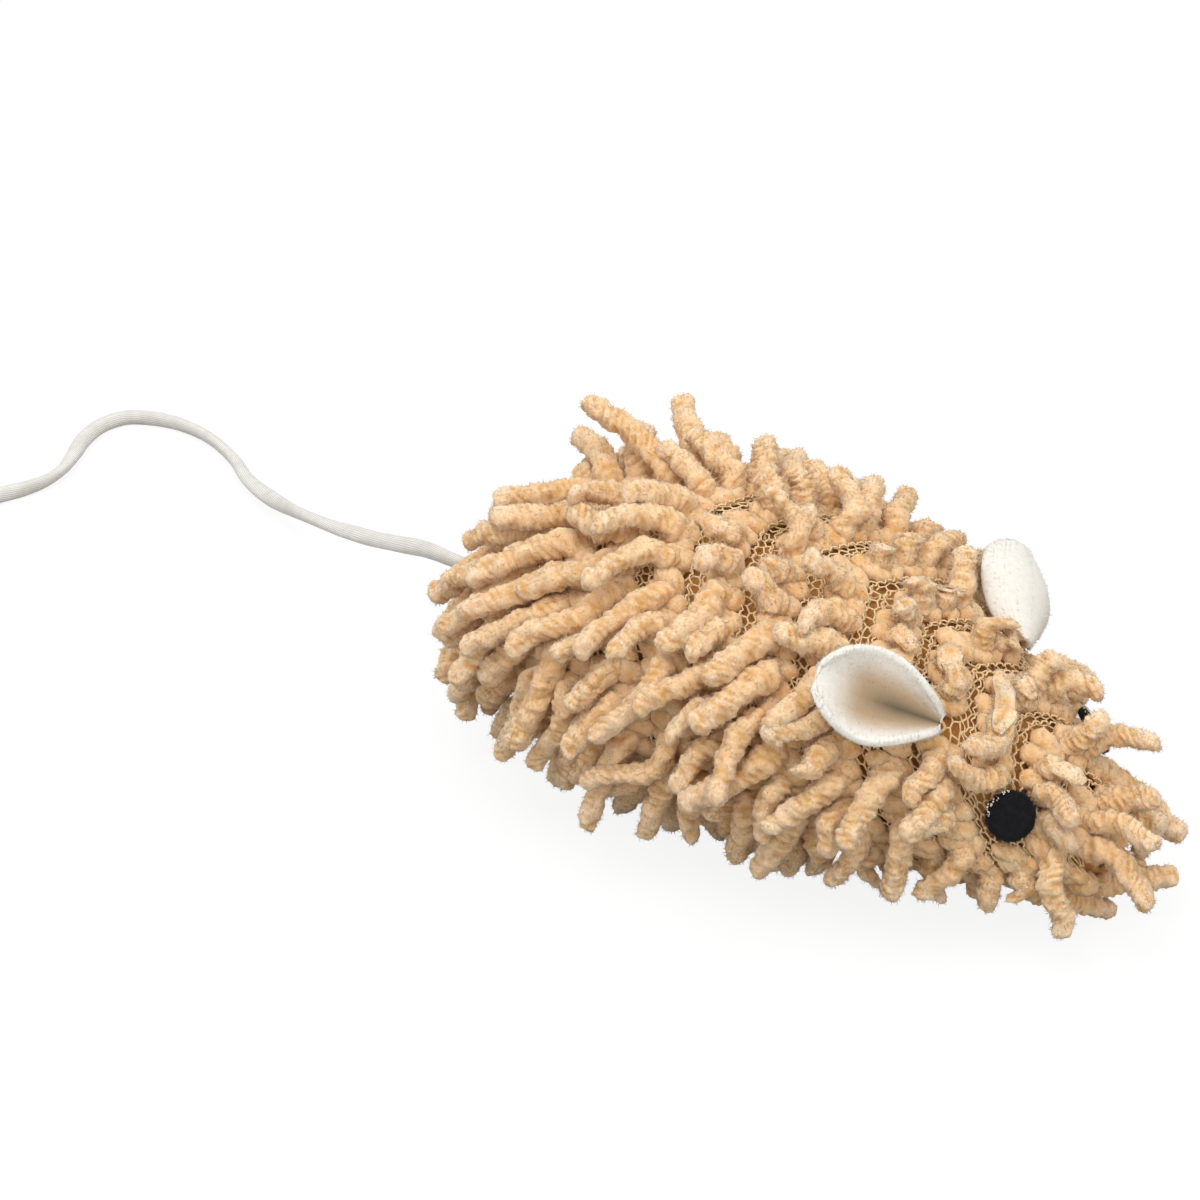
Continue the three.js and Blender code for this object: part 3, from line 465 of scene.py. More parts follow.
def row_runs():
    """Lengths along the flank of the rows of pile, closer together on the head."""
    first = RUMP_EDGE + NOODLE_CORNER + CLEARANCE
    last = NOSE_EDGE - NOODLE_CORNER - CLEARANCE
    runs = [first - ROW_LEAN]
    while runs[-1] < last + ROW_LEAN:
        on_head = runs[-1] > FLANK_LENGTH - HEAD_ROWS_FROM_NOSE
        runs.append(runs[-1] + (HEAD_ROW_PITCH if on_head else ROW_PITCH))
    return first, last, runs


def row_lean(row_run):
    """How far a row of pile runs back from the flank to the spine, less where the body is slim."""
    return ROW_LEAN * lerp(SLIM_LEAN, 1, girth(station_at(np.clip(row_run, RUMP_EDGE, NOSE_EDGE))))


def lean_share(angle):
    """From 1 on the spine through 0 on the flank to -1 under the belly, evenly by the angle."""
    return 2 / math.pi * np.arcsin(np.sin(angle))


def row_places(pile, row_run, inset, pitch, offset):
    """Run and angle of places at an even pitch along one row, from the spine on, where it is on the panel."""
    first, last, _ = row_runs()
    angle = np.linspace(*pile["span"], ROW_SAMPLES)
    run = row_run - row_lean(row_run) * lean_share(angle)
    station = station_at(np.clip(run, first, last))
    low, high = pile["edges"](station, inset)
    inside = (run >= first) & (run <= last) & (angle >= low) & (angle <= high)
    if inside.sum() < 2:
        return np.zeros((0, 2))
    arc = lengths_along(surface_point(station, angle)[inside])
    places = np.arange(offset, arc[-1], pitch)
    return np.stack([np.interp(places, arc, run[inside]), np.interp(places, arc, angle[inside])], axis=1)


def row_roots(pile):
    """Length along the flank, angle and seed of each finger, with every second row moved by half a pitch."""
    first, last, runs = row_runs()
    roots = []
    for row, row_run in enumerate(runs):
        on_head = 1 - smoothstep(FLANK_LENGTH - row_run, *PITCH_FROM_NOSE)
        pitch = float(lerp(pile["pitch"], pile["head_pitch"], on_head))
        places = row_places(pile, row_run, SEAM_HALF_GAP + SOFT_INSET, pitch, row % 2 / 2 * pitch)
        for place, (run, angle) in enumerate(places):
            if on_head > 0.5 and place % 2 and math.cos(angle) > 0 and angle < LOW_CHEEK_ANGLE:
                continue
            seed = pile["seed"] + row * 40 + place
            moved = run + ROOT_STRAY * scatter(seed + 0.13)
            roots.append((min(last, max(first, moved)), angle, seed))
    return roots


def lump_roots(pile):
    """Length along the flank and angle of each lump of ground yarn, side by side along each row."""
    rows = [row_places(pile, row_run, pile["hem"], LUMP_PITCH, 0) for row_run in row_runs()[2]]
    lumps = np.concatenate(rows)
    points, radii = kept_clear()
    centres = surface_point(station_at(lumps[:, 0]), lumps[:, 1])
    gaps = (np.linalg.norm(centres[:, None] - points, axis=2) - radii).min(axis=1)
    return lumps[gaps > LUMP_CLEARANCE]


def lay_of(pile, run, angle, seed):
    """Direction, lift and length of a finger: back and down on the flank, upright on spine and crown.

    Each stray is a repeatable value of the finger's seed, moved on by a part of one for each use.
    """
    station = station_at(run)
    from_nose = FLANK_LENGTH - run
    from_spine = abs(math.degrees(angle) - 90)
    spine = 1 - smoothstep(from_spine, *SPINE_DEGREES)
    crown = (1 - smoothstep(from_nose, *CROWN_FROM_NOSE)) * (1 - smoothstep(from_spine, *CROWN_DEGREES))
    from_brow = abs(from_nose - BROW_FROM_NOSE)
    brow = (1 - smoothstep(from_brow, *BROW_REACH)) * (1 - smoothstep(from_spine, *BROW_DEGREES))
    low = smoothstep(from_spine, *LOW_DEGREES)
    stray = lerp(*LEAN_STRAY, max(crown, spine))
    back = lerp(*LEAN_BACK, smoothstep(from_nose, *pile["zone"])) + stray * scatter(seed + 0.53)
    down = lerp(*LEAN_DOWN, spine) + LOW_LEAN_DOWN * low + (DOWN_STRAY + stray) * scatter(seed)
    forward, upward, out = surface_frame(station, angle)
    lay = unit(-forward * back - upward * down * pile["up"])
    spine_lift = lerp(*SPINE_LIFT, smoothstep(run, *SPINE_LIFT_RUN))
    lift = lerp(FLANK_LIFT, spine_lift, spine) + CROWN_LIFT * crown
    lift += lerp(*LIFT_STRAY, spine) * scatter(seed + 0.37)
    lift += BROW_LIFT * brow
    length = lerp(HEAD_NOODLE_LENGTH, NOODLE_LENGTH, smoothstep(from_nose, *GROWTH_FROM_NOSE))
    length += LENGTH_STRAY * scatter(seed + 0.71)
    snout = 1 - smoothstep(from_nose, *SNOUT_FROM_NOSE)
    length += SNOUT_EXTRA * snout + RUMP_EXTRA * (1 - smoothstep(run, *RUMP_RUN))
    if pile["up"] < 0:
        cheek = smoothstep(from_nose, *FAR_CHEEK_FROM_NOSE)
        length += FAR_CHEEK_EXTRA * cheek * (1 - smoothstep(from_nose, *FAR_CHEEK_TO))
    shoulder = (1 - smoothstep(from_spine, *SHOULDER_DEGREES)) * smoothstep(from_nose, *SHOULDER_FROM_NOSE)
    length *= 1 - SHOULDER_CUT * shoulder * (1 - smoothstep(from_nose, *SHOULDER_TO))
    spine_cut = lerp(*SPINE_CUT, smoothstep(from_nose, *SPINE_CUT_FROM_NOSE))
    spine_cut += SPINE_CUT_STRAY * scatter(seed + 0.83)
    length *= (1 - LOW_CUT * low) * (1 - spine * spine_cut * (1 - brow))
    if scatter(seed + 0.91) > SHORT_ABOVE:
        length *= SHORT_SHARE
        lift += SHORT_LIFT
    if pile["edges"] is belly_edges:
        lift = BELLY_LIFT
        length = BELLY_NOODLE_LENGTH
    return station, lay, out, lift, length


def finger(station, angle, lay, out, lift, length, way):
    """Root, elbow and tip of a finger that is drawn short, lifted and swung by one of the ways to lay it."""
    shorter, lifted, swung = way
    tilt = math.radians(lift + lifted)
    turn = math.radians(swung)
    reach = length * shorter - ELBOW_HEIGHT
    heading = lay * math.cos(turn) + np.cross(out, lay) * math.sin(turn)
    root = layer_point(station, angle, ROOT_DEPTH)
    elbow = surface_point(station, angle) + out * ELBOW_HEIGHT
    elbow[2] = max(elbow[2], FLOOR_REST)
    tip = elbow + heading * math.cos(tilt) * reach + out * math.sin(tilt) * reach
    tip[2] = max(tip[2], FLOOR_REST)
    return np.stack([root, elbow, tip])


def lay_pile():
    """Fingers of the three panels, each laid in the first way that clears what is there before it."""
    points, radii = kept_clear()
    free = radii + SOFT_RADIUS
    laid = np.zeros((0, 3))
    span = NOODLE_LENGTH + 4 * NOODLE_DIAMETER
    fingers = {}
    for name, pile in PILES.items():
        found = []
        for run, angle, seed in row_roots(pile):
            place = lay_of(pile, run, angle, seed)
            foot = surface_point(place[0], angle)
            near = np.linalg.norm(points - foot, axis=1) < span
            by = laid[np.linalg.norm(laid - foot, axis=1) < 2 * span]
            soft_gap = lerp(pile["head_gap"], SOFT_GAP, smoothstep(FLANK_LENGTH - run, *GAP_FROM_NOSE))
            for way in LAY_WAYS:
                root, elbow, tip = finger(place[0], angle, *place[1:], way)
                axis = np.vstack([lerp(root, elbow, 0.6), elbow, lerp(elbow, tip, AXIS_SHARES)])
                gaps = np.linalg.norm(axis[:, None] - points[near], axis=2) - free[near]
                touching = np.linalg.norm(axis[:, None] - by, axis=2) - soft_gap
                if gaps.min(initial=1) <= 0 or touching.min(initial=1) <= 0:
                    continue
                laid = np.vstack([laid, axis])
                found.append(np.stack([root, elbow, tip]))
                break
        fingers[name] = np.array(found)
    return fingers


# Meshes

def ring_skins(rings, first_poles, last_poles):
    """Closed skins over rings of points (skins, rings, columns, 3), each shut by a fan at both ends."""
    skins, rows, columns, _ = rings.shape
    points = np.concatenate([rings.reshape(skins, -1, 3), first_poles[:, None], last_poles[:, None]], axis=1)
    row, column = np.meshgrid(np.arange(rows - 1), np.arange(columns), indexing="ij")
    a = (row * columns + column).ravel()
    b = (row * columns + (column + 1) % columns).ravel()
    quads = np.stack([a, b, b + columns, a + columns], axis=1)
    here = np.arange(columns)
    after = (here + 1) % columns
    last = (rows - 1) * columns
    start = np.stack([after, here, np.full(columns, rows * columns)], axis=1)
    end = np.stack([last + here, last + after, np.full(columns, rows * columns + 1)], axis=1)
    offsets = (np.arange(skins) * points.shape[1])[:, None, None]
    fans = np.concatenate([start, end])
    return points.reshape(-1, 3), [(quads + offsets).reshape(-1, 4), (fans + offsets).reshape(-1, 3)]


def closed_skin(rings):
    """One closed skin over rings of points (rings, columns, 3), shut at the middle of both end rings."""
    return ring_skins(rings[None], rings[:1].mean(axis=1), rings[-1:].mean(axis=1))


def ring_values(values):
    """Values on rings (skins, rings, columns), with each pole given the mean of its ring."""
    skins = len(values)
    poles = np.stack([values[:, 0].mean(axis=1), values[:, -1].mean(axis=1)], axis=1)
    return np.concatenate([values.reshape(skins, -1), poles], axis=1).ravel()


def ring_uv(rows, columns, width, runs):
    """Corner UVs of one ring skin in metres: round the section, and along by the rings' runs."""
    grids = np.meshgrid(np.arange(rows - 1), np.arange(columns), indexing="ij")
    row, column = (grid.ravel() for grid in grids)
    across = np.stack([column, column + 1, column + 1, column], axis=1) * width / columns
    along = np.stack([runs[row], runs[row], runs[row + 1], runs[row + 1]], axis=1)
    here = np.arange(columns)
    fan = np.stack([here + 1, here, here + 0.5], axis=1) * width / columns
    start = np.stack([fan, np.full_like(fan, runs[0])], axis=-1)
    end = np.stack([fan[:, [1, 0, 2]], np.full_like(fan, runs[-1])], axis=-1)
    return [np.stack([across, along], axis=-1), np.concatenate([start, end])]


def slab(outer, inner):
    """Closed sheet between two like grids of points, with walls round its rim."""
    rows, columns, _ = outer.shape
    half = rows * columns
    index = np.arange(half).reshape(rows, columns)
    face = np.stack([index[:-1, :-1], index[1:, :-1], index[1:, 1:], index[:-1, 1:]], axis=-1).reshape(-1, 4)
    rim = np.concatenate([index[:-1, 0], index[-1, :-1], index[:0:-1, -1], index[0, :0:-1]])
    after = np.roll(rim, -1)
    wall = np.stack([after, rim, rim + half, after + half], axis=1)
    points = np.concatenate([outer.reshape(-1, 3), inner.reshape(-1, 3)])
    return points, [np.concatenate([face, face[:, ::-1] + half, wall])]


def tube_frame(path):
    """Directions along a path, to its side and across both, with the side kept level."""
    along = unit(np.gradient(path, axis=0))
    side = unit(np.cross(along, (0, 0, 1)))
    return along, side, np.cross(along, side)


def way_round(turn, side, across):
    """Directions round a path at each angle of a turn, from its side towards across."""
    return np.cos(turn)[:, None] * side[..., None, :] + np.sin(turn)[:, None] * across[..., None, :]


def volume_of(points, faces):
    """Signed volume inside closed faces, as the sum of the fans from each face's first corner."""
    total = 0.0
    for group in faces:
        for k in range(1, group.shape[1] - 1):
            a, b, c = points[group[:, 0]], points[group[:, k]], points[group[:, k + 1]]
            total += np.einsum("ij,ij->", a, np.cross(b, c))
    return total


def outward(skin):
    """Closed skin with its faces turned to point out."""
    points, faces = skin
    if volume_of(points, faces) < 0:
        return points, [group[:, ::-1] for group in faces]
    return points, faces


def joined(*skins):
    """Several closed skins as one, each facing out."""
    points = []
    faces = []
    start = 0
    for skin in skins:
        skin_points, skin_faces = outward(skin)
        points.append(skin_points)
        faces.extend(group + start for group in skin_faces)
        start += len(skin_points)
    return np.concatenate(points), faces


def nap_skin(points, normals, length, width, random):
    """Loose fibres of a nap, as thin spikes of four faces on points of a surface.

    Each leans off the normal by a random vector, and its three feet stand sunk round the point.
    """
    lean = unit(normals + random.normal(0, 0.45, points.shape))
    first = unit(np.cross(lean, normals[:, [1, 2, 0]] + 0.1))
    second = np.cross(lean, first)
    turn = 2 * math.pi / 3 * np.arange(3)[:, None]
    around = np.cos(turn) * first[:, None] + np.sin(turn) * second[:, None]
    feet = width * around - 2 * width * lean[:, None]
    reach = length * random.uniform(0.5, 1.2, (len(points), 1))
    spikes = np.concatenate([feet, (lean * reach)[:, None]], axis=1) + points[:, None]
    faces = np.array([[0, 2, 1], [0, 1, 3], [1, 2, 3], [2, 0, 3]])
    offsets = (np.arange(len(points)) * 4)[:, None, None]
    return spikes.reshape(-1, 3), [(faces + offsets).reshape(-1, 3)]


def make_piece(name, skin, material, body, nodes, uv=None, values=None):
    """Object from points in the body's millimetres, with outward faces, riding on a body for its nodes."""
    points, faces = skin
    if volume_of(points, faces) < 0:
        faces = [group[:, ::-1] for group in faces]
        uv = [group[:, ::-1] for group in uv] if uv else None
    points = (points + SHIFT) * MM
    points[:, 2] = np.maximum(points[:, 2], 0)
    totals = np.concatenate([np.full(len(group), group.shape[1]) for group in faces])
    corners = np.concatenate([group.ravel() for group in faces])
    mesh = bpy.data.meshes.new(name)
    mesh.vertices.add(len(points))
    mesh.vertices.foreach_set("co", points.astype(np.float32).ravel())
    mesh.loops.add(len(corners))
    mesh.loops.foreach_set("vertex_index", corners.astype(np.int32))
    mesh.polygons.add(len(totals))
    mesh.polygons.foreach_set("loop_start", (np.cumsum(totals) - totals).astype(np.int32))
    mesh.update(calc_edges=True)
    if uv:
        layer = mesh.uv_layers.new(name="UVMap")
        flat = np.concatenate([group.reshape(-1, 2) for group in uv])
        layer.uv.foreach_set("vector", flat.astype(np.float32).ravel())
    for key, numbers in (values or {}).items():
        attribute = mesh.attributes.new(key, "FLOAT", "POINT")
        attribute.data.foreach_set("value", numbers.astype(np.float32))
    mesh.shade_smooth()
    mesh.materials.append(material)
    piece = bpy.data.objects.new(name, mesh)
    bpy.context.scene.collection.objects.link(piece)
    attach(piece, body)
    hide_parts(*nodes)
    return piece


# Materials

def add_node(material, kind, inputs=None, **settings):
    """Adds a node, with its settings, and its inputs set to values or linked to sockets."""
    made = material.node_tree.nodes.new(kind)
    for key, value in settings.items():
        setattr(made, key, value)
    for key, value in (inputs or {}).items():
        if isinstance(value, bpy.types.NodeSocket):
            material.node_tree.links.new(value, made.inputs[key])
        else:
            made.inputs[key].default_value = value
    return made


def start_material(name):
    """Empty node material, and the piece's own coordinates in metres."""
    material = bpy.data.materials.new(name)
    material.use_nodes = True
    material.node_tree.nodes.clear()
    return material, add_node(material, "ShaderNodeTexCoord")


def finish_material(material, shader):
    """Links a shader to the material's output."""
    add_node(material, "ShaderNodeOutputMaterial", {"Surface": shader.outputs[0]})
    return material


def chenille_material(pile):
    """Velvet chenille yarn: matte short fibres, pale at the cut tips and with a painted highlight on the
    raised ridges, amber with painted shade in the grooves.
    """
    material, coords = start_material("cotton_chenille")
    ridge = add_node(material, "ShaderNodeAttribute", attribute_name="ridge")
    along = add_node(material, "ShaderNodeAttribute", attribute_name="along")
    tint = add_node(material, "ShaderNodeAttribute", attribute_name="tint")
    tufts = add_node(material, "ShaderNodeTexNoise",
                     {"Vector": coords.outputs["Object"], "Scale": 1 / (1.1 * MM), "Detail": 2.0})
    fibres = add_node(material, "ShaderNodeTexNoise",
                      {"Vector": coords.outputs["Object"], "Scale": 1 / (0.3 * MM), "Detail": 3.0,
                       "Roughness": 0.6})
    raised = add_node(material, "ShaderNodeMath", {0: ridge.outputs["Fac"], 1: tufts.outputs["Fac"]},
                      operation="ADD")
    # Painted shade: where ridge plus tufts is low, between the plies, the colour goes to the groove shade
    # colour
    depth = add_node(material, "ShaderNodeMapRange",
                     {"Value": raised.outputs[0], "From Min": 0.55, "From Max": 1.5})
    toned = add_node(material, "ShaderNodeMath", {0: tint.outputs["Fac"], 1: 0.45}, operation="MULTIPLY")
    body = add_node(material, "ShaderNodeMix",
                    {0: toned.outputs[0], 6: pile.pile_colour, 7: pile.warm_colour}, data_type="RGBA")
    yarn = add_node(material, "ShaderNodeMix",
                    {0: depth.outputs[0], 6: pile.groove_shade_colour, 7: body.outputs[2]}, data_type="RGBA")
    # Painted highlight: the pale tip colour shows on the raised ridges by fine noise, and most towards the
    # cut tips, whose fibre ends are paler too
    cut = add_node(material, "ShaderNodeMapRange",
                   {"Value": along.outputs["Fac"], "From Min": 0.4, "From Max": 1.0, "To Min": 0.5,
                    "To Max": 0.92})
    naps = add_node(material, "ShaderNodeMapRange",
                    {"Value": fibres.outputs["Fac"], "From Min": 0.3, "From Max": 0.75})
    pale = add_node(material, "ShaderNodeMath", {0: cut.outputs[0], 1: naps.outputs[0]}, operation="MULTIPLY")
    painted_highlight_share = add_node(material, "ShaderNodeMath", {0: pale.outputs[0], 1: depth.outputs[0]},
                     operation="MULTIPLY")
    colour = add_node(material, "ShaderNodeMix",
                      {0: painted_highlight_share.outputs[0], 6: yarn.outputs[2], 7: pile.tip_and_highlight_colour}, data_type="RGBA")
    bump = add_node(material, "ShaderNodeBump",
                    {"Height": fibres.outputs["Fac"], "Strength": 0.8, "Distance": 0.25 * MM})
    shader = add_node(material, "ShaderNodeBsdfPrincipled",
                      {"Base Color": colour.outputs[2], "Roughness": 0.95, "Specular IOR Level": 0.1,
                       "Subsurface Weight": 0.4, "Subsurface Radius": (1.0, 0.65, 0.4),
                       "Subsurface Scale": 0.9 * MM, "Sheen Weight": 0.45, "Sheen Roughness": 0.5,
                       "Sheen Tint": pile.tip_and_highlight_colour, "Normal": bump.outputs[0]})
    return finish_material(material, shader)


def grained_material(name, grain, dark, light, relief, looks):
    """Stuff with one grain that mottles it from dark to light, and raises it by a strength and a height.

    The grain holds the noise's own inputs, and the looks those of the shader.
    """
    material, coords = start_material(name)
    noise = add_node(material, "ShaderNodeTexNoise", {"Vector": coords.outputs["Object"], **grain})
    base = add_node(material, "ShaderNodeMix", {0: noise.outputs["Fac"], 6: dark, 7: light}, data_type="RGBA")
    shader = add_node(material, "ShaderNodeBsdfPrincipled", {"Base Color": base.outputs[2], **looks})
    if relief:
        bump = add_node(material, "ShaderNodeBump",
                        {"Height": noise.outputs["Fac"], "Strength": relief[0], "Distance": relief[1]})
        material.node_tree.links.new(bump.outputs[0], shader.inputs["Normal"])
    return finish_material(material, shader)


def knit_material(knit):
    """Warp-knit cotton thread: pale, with fine plies that show as light and dark along it."""
    looks = {"Roughness": 0.8, "Specular IOR Level": 0.25, "Sheen Weight": 0.2, "Sheen Roughness": 0.5}
    return grained_material("knit_cotton_thread", {"Scale": 1 / (0.35 * MM), "Detail": 2.0},
                            knit.shaded_thread_colour, knit.thread_colour, (0.5, 0.1 * MM), looks)


def lining_material(knit):
    """Plain-woven cotton backing: dark amber, with its weave drawn at 0.5 mm so that it shows."""
    material, coords = start_material("woven_cotton_backing")
    weave = []
    for direction in ("X", "Y"):
        weave.append(add_node(material, "ShaderNodeTexWave",
                              {"Vector": coords.outputs["UV"], "Scale": 2 * math.pi / (20 * 0.5 * MM),
                               "Distortion": 0.6, "Detail": 1.0}, bands_direction=direction))
    crossed = add_node(material, "ShaderNodeMath",
                       {0: weave[0].outputs["Fac"], 1: weave[1].outputs["Fac"]}, operation="MAXIMUM")
    patches = add_node(material, "ShaderNodeTexNoise",
                       {"Vector": coords.outputs["Object"], "Scale": 1 / (6 * MM), "Detail": 3.0})
    tone = add_node(material, "ShaderNodeMath", {0: crossed.outputs[0], 1: patches.outputs["Fac"]},
                    operation="MULTIPLY")
    colour = add_node(material, "ShaderNodeMix",
                      {0: tone.outputs[0], 6: knit.lining_shade_colour, 7: knit.lining_colour},
                      data_type="RGBA")
    bump = add_node(material, "ShaderNodeBump",
                    {"Height": crossed.outputs[0], "Strength": 0.5, "Distance": 0.15 * MM})
    shader = add_node(material, "ShaderNodeBsdfPrincipled",
                      {"Base Color": colour.outputs[2], "Roughness": 0.9, "Specular IOR Level": 0.2,
                       "Sheen Weight": 0.2, "Normal": bump.outputs[0]})
    return finish_material(material, shader)


def felt_material(name, colour, shade, sheen, painted_shades=None):
    """Pressed wool felt: matted fibres that show as fine flecks and a soft nap, with painted shade deep in a
    cup and in its crease where given.
    """
    material, coords = start_material(name)
    mats = add_node(material, "ShaderNodeTexNoise",
                    {"Vector": coords.outputs["Object"], "Scale": 1 / (0.8 * MM), "Detail": 4.0,
                     "Roughness": 0.6})
    hairs = add_node(material, "ShaderNodeTexNoise",
                     {"Vector": coords.outputs["Object"], "Scale": 1 / (0.16 * MM), "Detail": 2.0,
                      "Distortion": 1.5})
    both = add_node(material, "ShaderNodeMath", {0: mats.outputs["Fac"], 1: hairs.outputs["Fac"]},
                    operation="MULTIPLY")
    share = add_node(material, "ShaderNodeMapRange",
                     {"Value": both.outputs[0], "From Min": 0.1, "From Max": 0.4})
    base = add_node(material, "ShaderNodeMix", {0: share.outputs[0], 6: shade, 7: colour}, data_type="RGBA")
    # Painted shade: each attribute mixes the felt towards its shade colour
    for key, tone in (painted_shades or {}).items():
        amount = add_node(material, "ShaderNodeAttribute", attribute_name=key)
        base = add_node(material, "ShaderNodeMix",
                        {0: amount.outputs["Fac"], 6: base.outputs[2], 7: tone}, data_type="RGBA")
    bump = add_node(material, "ShaderNodeBump",
                    {"Height": both.outputs[0], "Strength": 0.6, "Distance": 0.2 * MM})
    shader = add_node(material, "ShaderNodeBsdfPrincipled",
                      {"Base Color": base.outputs[2], "Roughness": 0.95, "Specular IOR Level": 0.15,
                       "Sheen Weight": sheen, "Sheen Roughness": 0.4, "Normal": bump.outputs[0]})
    return finish_material(material, shader)


def satin_material(tail):
    """Satin-woven rayon cord: long smooth floats along it give a soft lengthwise gloss."""
    material, coords = start_material("satin_rayon_cord")
    floats = add_node(material, "ShaderNodeTexWave",
                      {"Vector": coords.outputs["UV"], "Scale": 2 * math.pi / (20 * 0.3 * MM),
                       "Distortion": 1.2, "Detail": 2.0, "Detail Scale": 1.5}, bands_direction="X")
    slubs = add_node(material, "ShaderNodeTexNoise",
                     {"Vector": coords.outputs["Object"], "Scale": 1 / (1.6 * MM), "Detail": 3.0})
    tone = add_node(material, "ShaderNodeMath", {0: floats.outputs["Fac"], 1: slubs.outputs["Fac"]},
                    operation="MULTIPLY")
    share = add_node(material, "ShaderNodeMapRange",
                     {"Value": tone.outputs[0], "From Min": 0.05, "From Max": 0.5})
    base = add_node(material, "ShaderNodeMix",
                    {0: share.outputs[0], 6: tail.shade_colour, 7: tail.cord_colour}, data_type="RGBA")
    bump = add_node(material, "ShaderNodeBump",
                    {"Height": floats.outputs["Fac"], "Strength": 0.35, "Distance": 0.08 * MM})
    shader = add_node(material, "ShaderNodeBsdfPrincipled",
                      {"Base Color": base.outputs[2], "Roughness": 0.42, "Specular IOR Level": 0.4,
                       "Sheen Weight": 0.25, "Sheen Roughness": 0.35, "Normal": bump.outputs[0]})
    return finish_material(material, shader)


def thread_material(knit):
    """Spun sewing thread: tan, with a two-ply twist that shows as fine light and dark."""
    return grained_material("spun_sewing_thread", {"Scale": 1 / (0.3 * MM), "Detail": 2.0},
                            knit.shaded_thread_colour, knit.seam_colour, (0.4, 0.08 * MM),
                            {"Roughness": 0.7, "Sheen Weight": 0.2})


def glue_material():
    """Set clear glue: a milky gloss bead with a little cloud in it."""
    return grained_material("set_clear_glue", {"Scale": 1 / (0.7 * MM), "Detail": 2.0},
                            linear_colour("#d9cdb4"), linear_colour("#f1ebdc"), None,
                            {"Roughness": 0.22, "IOR": 1.48})


def stuffing_material(name, light, dark, grain):
    """Loose stuff sewn inside, as crimped fibre, muslin or crushed leaf: a mottled matte surface."""
    return grained_material(name, {"Scale": 1 / grain, "Detail": 5.0, "Roughness": 0.65},
                            linear_colour(dark), linear_colour(light), (0.6, 0.3 * grain),
                            {"Roughness": 0.95, "Sheen Weight": 0.2})


# Settings

def length_setting(name, words, default):
    """Length property in metres."""
    return bpy.props.FloatProperty(name=name, description=words, default=default, unit="LENGTH", precision=5)


def share_setting(name, words, default):
    """Plain number property."""
    return bpy.props.FloatProperty(name=name, description=words, default=default)


def colour_setting(name, words, hex_colour):
    """Linear colour property from an sRGB hex colour."""
    colour = linear_colour(hex_colour)
    return bpy.props.FloatVectorProperty(
        name=name, description=words, default=colour, size=4, subtype="COLOR", min=0, max=1)


class MousePile(bpy.types.PropertyGroup):
    """Chenille fingers"""

    noodle_diameter: length_setting("Finger diameter", "Thickness of a chenille finger", 2.95 * MM)
    twist_pitch: length_setting("Twist pitch", "Length of one turn of the three plies", 2.9 * MM)
    groove_depth: share_setting("Groove depth", "Depth of the groove between the plies, of the radius", 0.14)
    nap: share_setting("Nap", "Unevenness of the short fibres, of the radius", 0.02)
    fibre_length: length_setting("Fibre length", "Length of the nap's loose fibres", 0.5 * MM)
    fibre_width: length_setting("Fibre width", "Half width of a fibre of the nap at its foot", 0.06 * MM)
    pile_colour: colour_setting("Pile", "Colour of the ridges of the yarn", "#efc68f")
    # Painted shade: the colour in the grooves between the plies
    groove_shade_colour: colour_setting("Groove", "Colour between the plies", "#deac6d")
    # Paler cut tips and nap, and also a painted highlight on the raised ridges and the nap fibres' tips
    tip_and_highlight_colour: colour_setting("Tip", "Colour of the cut tips and the nap", "#feefdf")
    warm_colour: colour_setting("Warm", "Colour of the darker fingers", "#e0a860")


class MouseKnit(bpy.types.PropertyGroup):
    """Knit net, backing and sewing thread"""

    cell_side: length_setting("Cell side", "Side of one cell of the net", 0.66 * MM)
    net_thread: length_setting("Net thread", "Thickness of the net's thread", 0.24 * MM)
    thread_colour: colour_setting("Net", "Colour of the net's thread", "#fbe6bd")
    shaded_thread_colour: colour_setting("Net shade", "Colour between its plies", "#eac588")
    seam_colour: colour_setting("Seam thread", "Colour of the sewing thread", "#d9b482")
    lining_colour: colour_setting("Backing", "Colour of the woven backing", "#dba45f")
    lining_shade_colour: colour_setting("Backing shade", "Colour between its threads", "#c48a48")


class MouseFelt(bpy.types.PropertyGroup):
    """Felt ears and eyes"""

    ear_thickness: length_setting("Ear thickness", "Thickness of the ear felt", EAR_THICKNESS * MM)
    ear_colour: colour_setting("Ear", "Colour of the white felt", "#f3f0ea")
    ear_shade_colour: colour_setting("Ear shade", "Colour between its fibres", "#e2dccf")
    # Painted shade deep inside the ear's cup
    ear_cup_shade_colour: colour_setting("Ear depth", "Colour deep in the ear's cup", "#9e7331")
    ear_crease_colour: colour_setting("Ear crease", "Colour in the shade of the ear's crease", "#5f5643")
    eye_colour: colour_setting("Eye", "Colour of the black felt", "#1d1d20")
    eye_shade_colour: colour_setting("Eye shade", "Colour between its fibres", "#0c0c0e")


class MouseTail(bpy.types.PropertyGroup):
    """Satin cord"""

    diameter: length_setting("Diameter", "Width of the cord", TAIL_DIAMETER * MM)
    flatness: share_setting("Flatness", "Thickness of the pressed cord, of its width", 0.72)
    turn_length: length_setting("Turn length", "Length of one slow turn of the flat cord", 70 * MM)
    cord_colour: colour_setting("Cord", "Colour of the satin", "#eae8e3")
    shade_colour: colour_setting("Cord shade", "Colour between its floats", "#c9c5bd")


